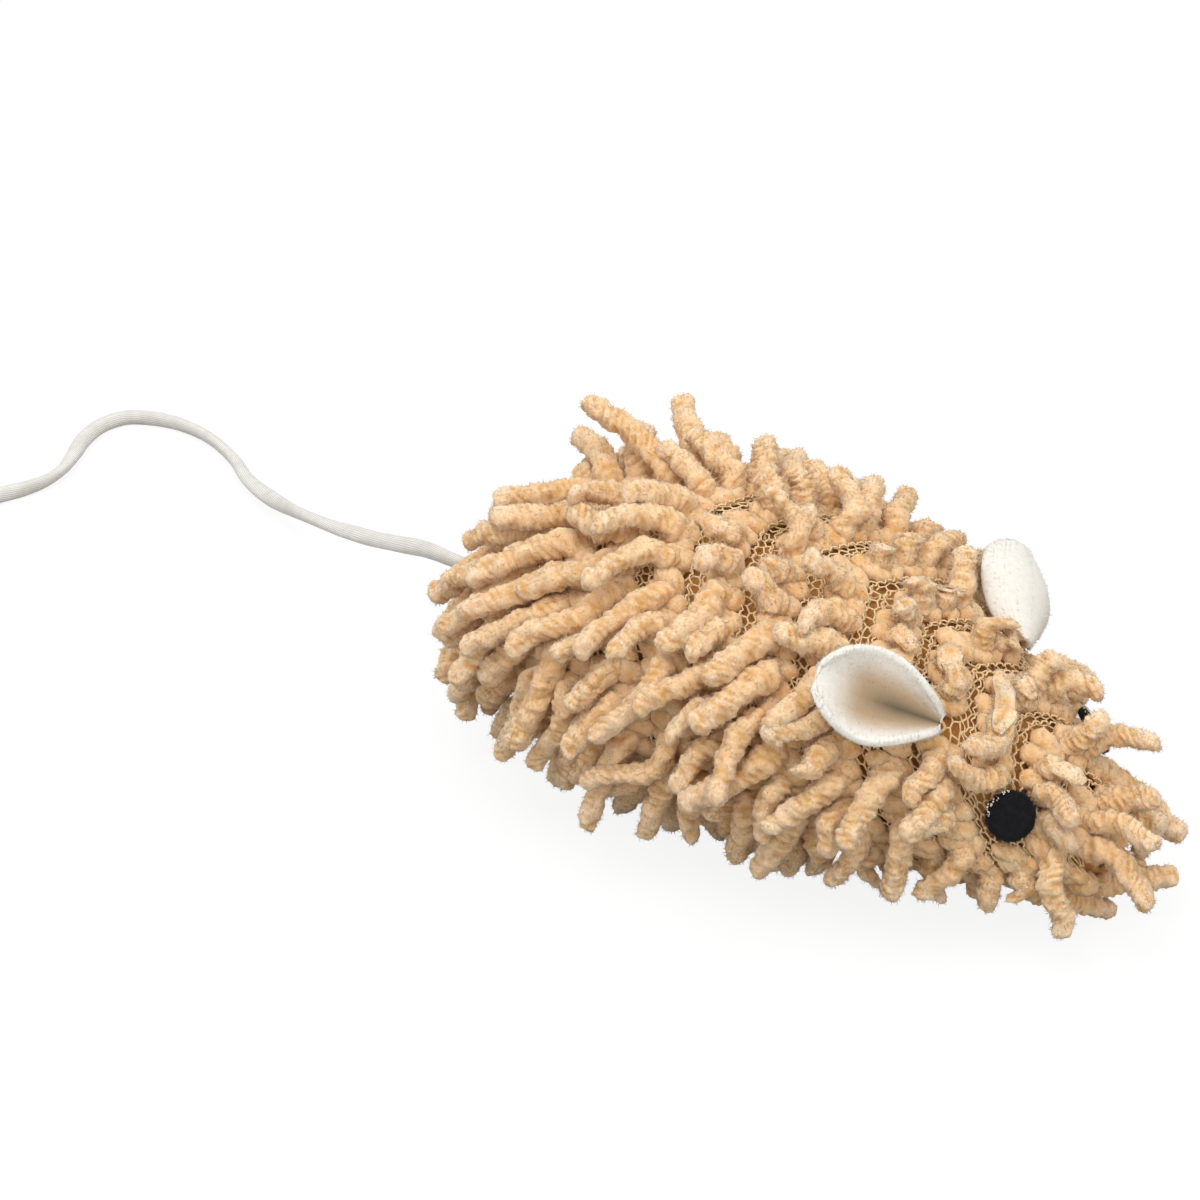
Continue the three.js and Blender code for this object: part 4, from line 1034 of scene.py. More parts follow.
class MouseStage(bpy.types.PropertyGroup):
    """Camera, floor and light"""

    azimuth: share_setting("Azimuth", "Camera's turn from the mouse's right side, in degrees", 33.0)
    elevation: share_setting("Elevation", "Camera's height above the floor, in degrees", 36.0)
    distance: length_setting("Distance", "Camera's distance from the mouse", 450 * MM)
    lens: share_setting("Lens", "Focal length for a 36 mm sensor", 110.7)
    shift_x: share_setting("Shift X", "Sideways shift of the frame", -0.16)
    shift_y: share_setting("Shift Y", "Upward shift of the frame", 0.06)
    floor_colour: colour_setting("Floor", "Colour of the paper as it lights the mouse", "#97948f")
    floor_glow: share_setting("Floor glow", "Share of white that the paper shows to the camera", 0.88)
    key_power: share_setting("Key", "Power of the soft light from above, in watts", 4.3)
    fill_power: share_setting("Fill", "Power of the soft light by the nose, in watts", 1.2)
    sky: share_setting("Sky", "Strength of the white room as it lights the mouse", 0.84)


# Stage in metres: the lamps' places, sizes and target, and half the side of the floor
KEY_PLACE = (-0.05, -0.28, 0.97)
KEY_SIZE = 0.6
FILL_PLACE = (0.6, -0.25, 0.6)
FILL_SIZE = 0.5
LAMP_TARGET = (0, 0, 0.02)
FLOOR_HALF = 6.0
WHITE = (1, 1, 1, 1)


# Operators

def aim(item, place, target):
    """Turns a lamp or camera at a place to look at a target."""
    item.location = place
    item.rotation_mode = "QUATERNION"
    item.rotation_quaternion = (Vector(target) - Vector(place)).to_track_quat("-Z", "Y")


def add_lamp(name, place, target, size, power):
    """Square soft light."""
    lamp = bpy.data.lights.new(name, "AREA")
    lamp.shape = "SQUARE"
    lamp.size = size
    lamp.energy = power
    item = bpy.data.objects.new(name, lamp)
    bpy.context.scene.collection.objects.link(item)
    aim(item, place, target)


def seen_rays(holder):
    """Socket that is 1 for rays from the camera or off a gloss, and 0 for those that only light."""
    path = add_node(holder, "ShaderNodeLightPath")
    rays = {0: path.outputs["Is Camera Ray"], 1: path.outputs["Is Glossy Ray"]}
    return add_node(holder, "ShaderNodeMath", rays, operation="MAXIMUM").outputs[0]


def floor_material(stage):
    """Matte white paper sweep: bright to the camera, and still with the object's soft shadow."""
    material, _ = start_material("matte_paper_sweep")
    seen = seen_rays(material)
    share = add_node(material, "ShaderNodeMath", {0: seen, 1: stage.floor_glow}, operation="MULTIPLY")
    tone = add_node(material, "ShaderNodeMix", {0: seen, 6: stage.floor_colour, 7: WHITE}, data_type="RGBA")
    paper = add_node(material, "ShaderNodeBsdfDiffuse", {"Color": tone.outputs[2]})
    glow = add_node(material, "ShaderNodeEmission", {"Color": WHITE, "Strength": 1.0})
    mixed = add_node(material, "ShaderNodeMixShader",
                     {0: share.outputs[0], 1: paper.outputs[0], 2: glow.outputs[0]})
    return finish_material(material, mixed)


class MOUSE_OT_stage(bpy.types.Operator):
    """Set up the camera, floor and soft light"""

    bl_idname = "mouse.stage"
    bl_label = "Stage"

    def execute(self, context):
        stage = context.scene.mouse_stage
        turn = math.radians(stage.azimuth)
        tilt = math.radians(stage.elevation)
        back = Vector((math.sin(turn) * math.cos(tilt), -math.cos(turn) * math.cos(tilt), math.sin(tilt)))
        target = Vector(((9.0 + SHIFT[0]) * MM, 0, 20 * MM))
        view = bpy.data.cameras.new("camera")
        view.sensor_width = 36
        view.lens = stage.lens
        view.shift_x = stage.shift_x
        view.shift_y = stage.shift_y
        view.clip_start = 0.01
        camera = bpy.data.objects.new("camera", view)
        context.scene.collection.objects.link(camera)
        aim(camera, target + back * stage.distance, target)
        context.scene.camera = camera
        mesh = bpy.data.meshes.new("floor")
        corners = [(x * FLOOR_HALF, y * FLOOR_HALF, 0) for x, y in ((-1, -1), (1, -1), (1, 1), (-1, 1))]
        mesh.from_pydata(corners, [], [(0, 1, 2, 3)])
        mesh.materials.append(floor_material(stage))
        floor = bpy.data.objects.new("floor", mesh)
        context.scene.collection.objects.link(floor)
        add_lamp("key", KEY_PLACE, LAMP_TARGET, KEY_SIZE, stage.key_power)
        add_lamp("fill", FILL_PLACE, LAMP_TARGET, FILL_SIZE, stage.fill_power)
        world = bpy.data.worlds.new("studio")
        context.scene.world = world
        world.use_nodes = True
        world.node_tree.nodes.clear()
        strength = add_node(world, "ShaderNodeMapRange",
                            {"Value": seen_rays(world), "To Min": stage.sky, "To Max": 1.0})
        sky = add_node(world, "ShaderNodeBackground", {"Color": WHITE, "Strength": strength.outputs[0]})
        add_node(world, "ShaderNodeOutputWorld", {"Surface": sky.outputs[0]})
        context.scene.view_settings.view_transform = "Standard"
        return {"FINISHED"}


class MOUSE_OT_tail(bpy.types.Operator):
    """Lay the satin cord tail along its route"""

    bl_idname = "mouse.tail"
    bl_label = "Tail"

    def execute(self, context):
        tail = context.scene.mouse_tail
        rows = 330
        columns = 18
        path = route_curve(TAIL_POINTS, rows)
        length = np.linalg.norm(np.diff(path, axis=0), axis=1).sum()
        runs = np.linspace(0, length, rows)
        _, side, across = tube_frame(path)
        radius = tail.diameter / MM / 2
        from_end = np.minimum(runs, length - runs)
        taper = np.sqrt(np.clip(1 - np.clip(1 - (from_end + 0.05) / 0.8, 0, 1) ** 2, 0, 1))
        turn = 2 * math.pi * runs / (tail.turn_length / MM) + 0.5 * np.sin(runs / 9)
        angle = full_turn(columns)
        floats = 1 + 0.025 * np.cos(5 * angle + runs[:, None] / 1.4) + 0.02 * np.sin(runs[:, None] / 2.3)
        wide = radius * np.cos(angle) * floats * taper[:, None]
        thin = radius * tail.flatness * np.sin(angle) * floats * taper[:, None]
        swept_side = wide * np.cos(turn)[:, None] - thin * np.sin(turn)[:, None]
        swept_across = wide * np.sin(turn)[:, None] + thin * np.cos(turn)[:, None]
        rings = path[:, None] + side[:, None] * swept_side[..., None]
        rings = rings + across[:, None] * swept_across[..., None]
        skin = ring_skins(rings[None], path[:1], path[-1:])
        uv = ring_uv(rows, columns, math.pi * tail.diameter, runs * MM)
        cord = make_piece("satin_tail", skin, satin_material(tail), "tail", ["tail_cord"], uv)
        return {"FINISHED"}


class MOUSE_OT_pile(bpy.types.Operator):
    """Grow the chenille fingers on the three panels, out of the ground yarn"""

    bl_idname = "mouse.pile"
    bl_label = "Pile"

    def execute(self, context):
        pile = context.scene.mouse_pile
        material = chenille_material(pile)
        random = np.random.default_rng(11)
        for panel, fingers in lay_pile().items():
            order = np.argsort(fingers[:, 0, 0])
            words = ("belly",) if panel == "belly" else ("rump", "flank", "shoulder", "head")
            for part, word in zip(np.array_split(fingers[order], len(words)), words):
                name = f"{panel}_pile" if panel == "belly" else f"{panel}_{word}_pile"
                skin, values = finger_skins(part, pile, 60 if panel == "belly" else 520, random)
                make_piece(name, skin, material, "body", [PANEL_NODES[panel]], values=values)
            skin, values = lump_skins(lump_roots(PILES[panel]), pile, 20 if panel == "belly" else 80, random)
            make_piece(f"{panel}_ground_yarn", skin, material, "body", [PANEL_NODES[panel]],
                       values=values)
        return {"FINISHED"}


def wave_field(points, length, random):
    """Random field of spread one in space: the sum of plane waves of about one length, each its own way."""
    waves = 12
    total = np.zeros(points.shape[:-1])
    for _ in range(waves):
        heading = unit(random.normal(0, 1, 3)) * 2 * math.pi / (length * random.uniform(0.7, 1.4))
        total += np.sin(points @ heading + random.uniform(0, 2 * math.pi))
    return total / math.sqrt(waves / 2)


def yarn_relief(points, run, angle, pile, random):
    """Ridges from 0 to 1 and uneven tufts, both of the radius, on yarn twisted of three plies.

    The ridges are the humps of a cosine that turns about once a twist pitch. Five wavering humps round the
    yarn split them into puffs, and they fade out in patches. The tufts are three random fields, from coarse
    to fine, and a nap.
    """
    count = len(run)
    along = run[..., None]
    drift = 0.5 * np.sin(2 * angle + along / 1.7 + random.uniform(0, 6.3, (count, 1, 1)))
    drift = drift + 0.8 * wave_field(points, 5.0, random)
    turn = 2 * math.pi * along / (pile.twist_pitch / MM) + random.uniform(0, 6.3, (count, 1, 1))
    ridge = np.abs(np.cos(1.5 * (angle - turn) + drift)) ** 0.9
    split = np.abs(np.cos(2.5 * angle + along + 1.4 * wave_field(points, 2.2, random)))
    ridge = ridge * (1 - 0.4 * (1 - split))
    patches = smoothstep(wave_field(points, 3.2, random), -1.2, 0.6)
    ridge = 1 - (1 - ridge) * patches
    tufts = 0.05 * wave_field(points, 4.0, random) + 0.08 * wave_field(points, 1.8, random)
    tufts += 0.05 * wave_field(points, 0.9, random) + pile.nap * random.normal(0, 1, ridge.shape)
    return ridge, tufts


def fibres_on(rings, axis, values, count, pile, random):
    """Nap fibres at random points of ring skins, with the skins' values at their feet, and tips painted pale:
    partly paler fibre ends, partly a painted highlight.
    """
    skins, rows, columns, _ = rings.shape
    skin = np.repeat(np.arange(skins), count)
    row = random.integers(2, rows, len(skin))
    column = random.integers(0, columns, len(skin))
    points = rings[skin, row, column]
    normals = unit(points - axis[skin, np.maximum(row - 2, 0)])
    spikes = nap_skin(points, normals, pile.fibre_length / MM, pile.fibre_width / MM, random)
    corners = {key: np.repeat(numbers[skin, row, column], 4) for key, numbers in values.items()}
    # Spike tips take ridge and along of 1, so they show the pale tip colour: paler fibre ends and a painted
    # highlight
    for key in ("ridge", "along"):
        corners[key][3::4] = 1
    return spikes, corners


def with_nap(rings, axis, skin, values, count, pile, random):
    """Ring skins joined with their nap, and the values of both."""
    spikes, spike_values = fibres_on(rings, axis, values, count, pile, random)
    both = {key: np.concatenate([ring_values(values[key]), spike_values[key]]) for key in values}
    return joined(skin, spikes), both


# Shape of a finger: shares of its girth, and millimetres its elbow and free end bend, sway, curl and sag
HEAD_THINNESS = 0.92
THIN_FROM_NOSE = (12, 45)
GIRTH_SPREAD = (0.88, 1.14)
FINGER_TAPER = (1.14, 0.92)
ELBOW_BEND = 2.0
SWAY = 0.5
SWAY_WAVES = (0.8, 1.8)
CURL = 1.2
CURL_LIMIT = 1.5
SAG = 1.1


def finger_skins(fingers, pile, fibres, random):
    """Twisted fingers along bent axes, as closed skins with the values ridge, along and tint.

    The axis rises to the elbow and turns over it on a parabola. The free end sways by a sine, and curls and
    sags by the square of its way. The radius carries the yarn's relief, and the tip is a blunt dome.
    """
    root, elbow, tip = (fingers[:, k] for k in range(3))
    count = len(fingers)
    columns = 20
    shaft = np.linspace(0, 1, 58)
    dome = np.linspace(0, math.pi / 2, 7)[1:-1]
    blunt = 0.75
    thinner = lerp(HEAD_THINNESS, 1, smoothstep(HEAD_LENGTH - root[:, :1], *THIN_FROM_NOSE))
    radius = pile.noodle_diameter / MM / 2 * random.uniform(*GIRTH_SPREAD, (count, 1)) * thinner
    rise = np.linalg.norm(elbow - root, axis=1)[:, None]
    reach = np.linalg.norm(tip - elbow, axis=1)[:, None]
    up = unit(elbow - root)[:, None]
    over = unit(tip - elbow)[:, None]
    side = unit(np.cross(up, over))
    end = rise + reach - 0.3 * radius
    run = np.concatenate([end * shaft, end + blunt * radius * np.sin(dome)], axis=1)
    past = run - rise
    bent = (past + ELBOW_BEND) ** 2 / (4 * ELBOW_BEND)
    turned = np.where(np.abs(past) < ELBOW_BEND, bent, np.maximum(past, 0))
    slope = np.clip((past + ELBOW_BEND) / (2 * ELBOW_BEND), 0, 1)
    free = np.clip(past / reach, 0, 1.2)
    axis = root[:, None] + up * (run - turned)[..., None] + over * turned[..., None]
    along = unit(up * (1 - slope)[..., None] + over * slope[..., None])
    swing = random.normal(0, SWAY, (count, 1))
    sway = swing * np.sin(math.pi * random.uniform(*SWAY_WAVES, (count, 1)) * free)
    curl = np.clip(random.normal(0, CURL, (count, 1)), -CURL_LIMIT, CURL_LIMIT) * free ** 2 + sway
    sag = -random.uniform(0, SAG, (count, 1)) * free ** 2
    axis = axis + side * curl[..., None] + np.array([0, 0, 1]) * sag[..., None]
    across = np.cross(along, np.broadcast_to(side, along.shape))
    angle = full_turn(columns)
    around = way_round(angle, side, across)
    ridge, tufts = yarn_relief(axis[:, :, None] + radius[..., None, None] * around, run, angle, pile, random)
    cap = np.concatenate([np.ones(len(shaft)), np.cos(dome) ** 0.7])
    taper = lerp(*FINGER_TAPER, np.clip(free, 0, 1))
    girths = (radius * cap * taper)[..., None] * (1 - pile.groove_depth * (1 - ridge) + tufts)
    rings = axis[:, :, None] + girths[..., None] * around
    last = axis[:, -1] + along[:, -1] * blunt * radius * (1 - math.sin(dome[-1]))
    skin = ring_skins(rings, axis[:, 0], last)
    values = {
        "ridge": np.clip(ridge + 2 * tufts, 0, 1),
        "along": np.broadcast_to(np.clip(free, 0, 1)[..., None], ridge.shape),
        "tint": np.broadcast_to(random.uniform(0, 1, (count, 1, 1)), ridge.shape),
    }
    return with_nap(rings, axis, skin, values, fibres, pile, random)


def lump_skins(lumps, pile, fibres, random):
    """Lumps of ground yarn across each row, as short closed skins with the fingers' values.

    The axis follows the fabric towards the nose, a little askew. The radius carries the yarn's relief, and
    rounds off at both ends by the root of one minus a cube.
    """
    run, angle = (lumps[:, k, None] for k in range(2))
    rows = 12
    columns = 12
    share = np.linspace(-0.985, 0.985, rows)
    flank = smoothstep(np.abs(np.degrees(angle) - 90), 30, 70) * smoothstep(FLANK_LENGTH - run, 25, 45)
    along = share * LUMP_HALF * random.uniform(0.9, 1.15, run.shape) * (1 + 0.45 * flank)
    runs = np.clip(run + random.normal(0, 0.25, run.shape) + along, RUMP_EDGE + 0.4, NOSE_EDGE - 0.4)
    station = station_at(runs)
    skew = random.normal(0, 0.25, run.shape) + share * random.normal(0, 0.4, run.shape)
    angles = angle + angle_for(station, angle, 1.0) * skew
    _, upward, out = surface_frame(station, angles)
    ends = np.sqrt(1 - np.abs(share) ** 3)
    radius = 0.62 * LUMP_PITCH * random.uniform(0.88, 1.1, run.shape) * ends
    turn = full_turn(columns)
    axis = surface_point(station, angles) + 0.1 * out
    around = np.cos(turn)[:, None] * upward[:, :, None] + 0.8 * np.sin(turn)[:, None] * out[:, :, None]
    ridge, tufts = yarn_relief(axis[:, :, None] + radius[..., None, None] * around, along, turn, pile, random)
    girths = radius[..., None] * (1 - pile.groove_depth * (1 - ridge) + tufts)
    rings = axis[:, :, None] + girths[..., None] * around
    skin = ring_skins(rings, axis[:, 0], axis[:, -1])
    values = {
        "ridge": np.clip(ridge + 2 * tufts, 0, 1),
        "along": np.zeros_like(ridge),
        "tint": np.broadcast_to(random.uniform(0.2, 1, (len(lumps), 1, 1)), ridge.shape),
    }
    return with_nap(rings, axis, skin, values, fibres, pile, random)


def chain_skins(pile, thread):
    """Chain stitches up both sides of each band of net, as closed round threads.

    Each thread follows the fabric round the girth, and swings to and fro and up and down once a stitch.
    """
    _, _, row_starts = row_runs()
    lines = np.concatenate([np.array(row_starts) - CHAIN_FROM_ROW, np.array(row_starts) + CHAIN_FROM_ROW])
    rows = 240
    columns = 4
    paths = []
    sides = []
    outs = []
    for line in lines:
        station = station_at(np.clip(line, RUMP_EDGE, NOSE_EDGE))
        low, high = (float(edge) for edge in pile["edges"](np.asarray(station), 0))
        angle = np.linspace(low, high, ROW_SAMPLES)
        run = line - row_lean(line) * lean_share(angle)
        kept = (run > RUMP_EDGE) & (run < NOSE_EDGE)
        if kept.sum() < 40:
            continue
        angle = np.linspace(*angle[kept][[0, -1]], rows)
        run = np.clip(line - row_lean(line) * lean_share(angle), RUMP_EDGE, NOSE_EDGE)
        place = station_at(run)
        forward, _, out = surface_frame(place, angle)
        speed = 1 / angle_for(place, angle, 1.0)
        arc = np.concatenate([[0], np.cumsum(speed[1:] * np.diff(angle))])
        swing = CHAIN_SWING * np.sin(2 * math.pi * arc / CHAIN_STITCH)
        climb = 0.3 + 0.15 * np.cos(4 * math.pi * arc / CHAIN_STITCH)
        paths.append(surface_point(place, angle) + forward * swing[:, None] + out * climb[:, None])
        sides.append(forward)
        outs.append(out)
    paths, sides, outs = (np.array(group) for group in (paths, sides, outs))
    rings = paths[:, :, None] + thread / 2 * way_round(full_turn(columns), sides, outs)
    return ring_skins(rings, paths[:, 0], paths[:, -1])


# The net: knots each way from a panel's middle, their stray and depth, and how much of the girth it may cover
NET_ROWS = 90
NET_STRAY = 0.1
NET_DEPTH = 0.15
NET_REACH = 2.2 * BODY_WIDTH / 2


def net_knots(edges, middle, side):
    """Knots of a six-sided net, with their outward directions, which are kept, and which swing forward.

    The net's columns lean with the rows of pile. Each second knot of a column swings a quarter side to and
    fro. Under the rows of lumps the net is left out, except by the eyes and ears.
    """
    random = np.random.default_rng(5)
    columns = int((FLANK_LENGTH + 2 * ROW_LEAN) / (1.5 * side))
    column, row = np.meshgrid(np.arange(columns), np.arange(-NET_ROWS, NET_ROWS + 1), indexing="ij")
    forward = (column + row) % 2 == 0
    run = column * 1.5 * side - ROW_LEAN + np.where(forward, side / 4, -side / 4)
    arc = row * side * math.sqrt(3) / 2
    run = run + random.normal(0, NET_STRAY, run.shape)
    arc = arc + random.normal(0, NET_STRAY, run.shape)
    row_starts = np.array(row_runs()[2])
    from_row = np.abs(run[..., None] - row_starts).min(axis=-1)
    share = np.maximum(girth(station_at(np.clip(run, RUMP_EDGE, NOSE_EDGE))), 0.05)
    middle_arc = np.interp(middle, GIRTH_ANGLES, GIRTH_ARCS)
    angle = np.interp(middle_arc + arc / share, GIRTH_ARCS, GIRTH_ANGLES)
    run = run - row_lean(run) * lean_share(angle)
    station = station_at(np.clip(run, RUMP_EDGE, NOSE_EDGE))
    low, high = edges(station, 0)
    kept = (run > RUMP_EDGE) & (run < NOSE_EDGE - 2) & (angle > low) & (angle < high)
    points = layer_point(station, angle, np.full(run.shape, NET_DEPTH))
    folded = points * (1, 0, 1) - np.abs(points) * (0, 1, 0)
    from_eye = np.linalg.norm(folded - body_place(EYE_FROM_NOSE, EYE_ANGLE)[0], axis=-1)
    from_ear = np.linalg.norm(folded - body_place(EAR_FROM_NOSE, EAR_ANGLE)[0], axis=-1)
    kept &= np.abs(arc / share) < NET_REACH
    kept &= (from_row > 0.6 * LUMP_HALF) | (from_eye < EYE_DIAMETER) | (from_ear < EAR_LENGTH)
    return points, surface_frame(station, angle)[2], kept, forward


def net_skin(edges, middle, side, thread):
    """Thin square threads of a net, down its columns and from each forward knot to the next column."""
    points, outs, kept, forward = net_knots(edges, middle, side)
    index = np.arange(kept.size).reshape(kept.shape)
    down = np.stack([index[:, :-1].ravel(), index[:, 1:].ravel()], axis=1)
    over = np.stack([index[:-1].ravel(), index[1:].ravel()], axis=1)[forward[:-1].ravel()]
    ends = np.concatenate([down, over])
    ends = ends[kept.ravel()[ends].all(axis=1)]
    start, stop = (points.reshape(-1, 3)[ends[:, k]] for k in range(2))
    out = outs.reshape(-1, 3)[ends[:, 0]]
    along = unit(stop - start)
    across = unit(np.cross(along, out))
    high_side = np.cross(across, along)
    corners = [(1, 0), (0, 1), (-1, 0), (0, -1)]
    rings = [
        centre + thread / 2 * (a * across + b * high_side)
        for centre in (start - along * 0.3 * thread, stop + along * 0.3 * thread) for a, b in corners
    ]
    solid = np.stack(rings, axis=1)
    faces = np.array([[0, 1, 5, 4], [1, 2, 6, 5], [2, 3, 7, 6], [3, 0, 4, 7], [3, 2, 1, 0], [4, 5, 6, 7]])
    offsets = (np.arange(len(solid)) * 8)[:, None, None]
    return solid.reshape(-1, 3), [(faces + offsets).reshape(-1, 4)]


def lay_backing(panel, edges, cloth):
    """Lays a panel's woven backing under its fabric, with its flat layout as a UV map."""
    rows = 90
    columns = 48
    hem = 0.1
    run = np.linspace(RUMP_EDGE, NOSE_EDGE, rows)[:, None]
    station = station_at(run)
    low, high = edges(station, hem)
    angle = lerp(low, high, np.linspace(0, 1, columns))
    station = np.broadcast_to(station, angle.shape)
    over, under = (layer_point(station, angle, np.full(angle.shape, depth))
                   for depth in (LINING_DEPTH, LINING_DEPTH + LINING_THICKNESS))
    skin = slab(over, under)
    arcs = np.interp(angle, GIRTH_ANGLES, GIRTH_ARCS) * girth(station)
    flat = np.stack([arcs, np.broadcast_to(run, angle.shape)], axis=-1).reshape(-1, 2) * MM
    uv = [np.concatenate([flat, flat])[group] for group in skin[1]]
    sheet = make_piece(f"{panel}_backing", skin, cloth, "body", [LINING_NODES[panel]], uv)


class MOUSE_OT_ground(bpy.types.Operator):
    """Knit the open net and the woven backing under it"""

    bl_idname = "mouse.ground"
    bl_label = "Net and backing"

    def execute(self, context):
        knit = context.scene.mouse_knit
        thread = knit_material(knit)
        cloth = lining_material(knit)
        for panel, pile in PILES.items():
            skin = net_skin(pile["edges"], PANEL_MIDDLES[panel], knit.cell_side / MM, knit.net_thread / MM)
            nodes = [PANEL_NODES[panel]]
            make_piece(f"{panel}_knit_net", skin, thread, "body", nodes)
            if panel != "belly":
                skin = chain_skins(pile, knit.net_thread / MM)
                make_piece(f"{panel}_knit_chains", skin, thread, "body", nodes)
            lay_backing(panel, pile["edges"], cloth)
        return {"FINISHED"}


def coil_skin(path, radius, columns=6):
    """Round thread along a path, shut at both ends."""
    _, side, across = tube_frame(path)
    rings = path[:, None] + radius * way_round(full_turn(columns), side, across)
    return ring_skins(rings[None], path[:1], path[-1:])


class MOUSE_OT_seams(bpy.types.Operator):
    """Sew the three seams, the nose knot and the ears' tacks"""

    bl_idname = "mouse.seams"
    bl_label = "Seams"

    def execute(self, context):
        knit = context.scene.mouse_knit
        thread = thread_material(knit)
        radius = THREAD_DIAMETER / 4
        seams = {
            "spine_seam_thread": lambda station: np.full_like(station, math.pi / 2),
            "right_base_seam_thread": base_seam,
            "left_base_seam_thread": lambda station: math.pi - base_seam(station),
        }
        stitch = 1.9
        for node, angle_at in seams.items():
            run = np.linspace(RUMP_EDGE + 2, NOSE_EDGE - 2, 900)
            station = station_at(run)
            angle = angle_at(station)
            _, upward, out = surface_frame(station, angle)
            turn = 2 * math.pi * run[:, None] / stitch
            path = layer_point(station, angle, np.full(run.shape, 0.75))
            path = path + 0.7 * np.cos(turn) * upward + 0.35 * np.sin(turn) * out
            name = node.replace("_thread", "_stitches")
            make_piece(name, coil_skin(path, radius), thread, "body", [node])
        low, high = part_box("nose_seam_knot")
        centre = np.array((low + high) / 2) / MM - SHIFT
        turn = np.linspace(0, 2 * math.pi, 160)
        knot = np.stack([np.sin(turn) + 2 * np.sin(2 * turn), np.cos(turn) - 2 * np.cos(2 * turn),
                         -np.sin(3 * turn)], axis=1)
        skin = coil_skin(centre + knot * 0.24, 0.3)
        make_piece("nose_knot", skin, thread, "body", ["nose_seam_knot"])
        point, forward, side, out = body_place(EAR_FROM_NOSE, EAR_ANGLE)
        turn = np.linspace(0, 7 * math.pi, 200)[:, None]
        climb = np.linspace(0.25, EAR_TACK_HEIGHT + CLEARANCE - 0.2, 200)[:, None]
        tack = point + 0.55 * (np.cos(turn) * forward + np.sin(turn) * side) + climb * out
        for name, mirror in (("right", 1), ("left", -1)):
            skin = coil_skin(tack * (1, mirror, 1), radius)
            make_piece(f"{name}_ear_stitches", skin, thread, "body", [f"{name}_ear_tack"])
        return {"FINISHED"}


# Loose fibres on the felt
EAR_FIBRES = 1600
EYE_FIBRES = 1400


class MOUSE_OT_ears(bpy.types.Operator):
    """Cut and cup the felt ears"""

    bl_idname = "mouse.ears"
    bl_label = "Ears"

    def execute(self, context):
        felt = context.scene.mouse_felt
        material = felt_material("white_wool_felt", felt.ear_colour, felt.ear_shade_colour, 0.3,
                                 {"depth": felt.ear_cup_shade_colour, "crease": felt.ear_crease_colour})
        rows = 46
        columns = 56
        turn = full_turn(columns)
        along = lerp(*EAR_ENDS, 0.5 - 0.5 * np.cos(np.linspace(0.03, 1, rows) * math.pi))[:, None]
        across = np.sign(np.cos(turn)) * np.abs(np.cos(turn)) ** 0.5
        layer = np.sign(np.sin(turn)) * np.abs(np.sin(turn)) ** 0.6
        small = 1e-3
        steps = [ear_point(along + small, across) - ear_point(along - small, across),
                 ear_point(along, across + small) - ear_point(along, across - small)]
        normal = unit(np.cross(*steps))
        random = np.random.default_rng(3)
        inside = smoothstep(np.sin(turn), 0, 0.3)
        # Painted shade on the inside face, as the attributes depth and crease: darker deep in the cup away
        # from its rim and end, darkest along the crease near the base
        cup_shade = 0.75 * (1 - smoothstep(np.abs(across), 0.3, 0.92)) * (1 - smoothstep(along, 0.6, 0.93))
        crease = 0.95 * np.exp(-(across / lerp(0.2, 0.28, along)) ** 2) * (1 - smoothstep(along, 0.35, 0.75))
        shades = {"depth": inside * cup_shade, "crease": inside * crease}
        for name, ear in EARS.items():
            ends = np.sin(np.linspace(0.12, math.pi - 0.12, rows))[:, None] ** 0.3
            rim = 1 + 0.35 * smoothstep(np.abs(across), 0.75, 1)
            lift = felt.ear_thickness / MM / 2 * layer * ends * rim
            nap = random.normal(0, 0.02, lift.shape)
            leaf = ear_point(along, across) + normal * (lift + nap)[..., None]
            placed = ear_place(ear, leaf)
            skin = closed_skin(placed)
            edge = random.integers(0, rows, EAR_FIBRES), random.integers(0, columns, EAR_FIBRES)
            heart = placed.mean(axis=1)[edge[0]]
            fuzz = nap_skin(placed[edge], unit(placed[edge] - heart), 0.45, 0.045, random)
            values = {key: np.concatenate([ring_values(shade[None]), np.repeat(shade[edge], 4)])
                      for key, shade in shades.items()}
            piece = make_piece(f"{name}_felt_ear", joined(skin, fuzz), material, f"{name}_ear",
                               [f"{name}_ear"], values=values)
        return {"FINISHED"}


def round_rings(profile, wobble):
    """Rings of revolution about +Z from (radius, height) rows, with the radius times one plus a wobble."""
    angle = full_turn(wobble.shape[1])
    radius = profile[:, :1] * (1 + wobble)
    height = np.broadcast_to(profile[:, 1:], radius.shape)
    return np.stack([radius * np.cos(angle), radius * np.sin(angle), height], axis=-1)


def speck_places(count, random):
    """Random places of glue specks on the upper back of an eye's rim, along forward, side and out."""
    angle = np.radians(random.uniform(120, 205, count))
    radius = EYE_DIAMETER / 2 * random.uniform(0.88, 1.06, count)
    height = GLUE_THICKNESS + 2 * CLEARANCE + EYE_THICKNESS * random.uniform(0.7, 1.08, count)
    return np.stack([radius * np.cos(angle), radius * np.sin(angle), height], axis=1)


def speck_skins(centres, radii):
    """Small balls, as closed skins of six rings."""
    tilt = np.linspace(-math.pi / 2, math.pi / 2, 8)[1:-1, None]
    turn = full_turn(10)
    wide = np.cos(tilt)
    ball = np.stack([wide * np.cos(turn), wide * np.sin(turn), np.sin(tilt) + 0 * turn], axis=-1)
    rings = centres[:, None, None] + radii[:, None, None, None] * ball
    pole = radii[:, None] * np.array((0, 0, 1))
    return ring_skins(rings, centres - pole, centres + pole)


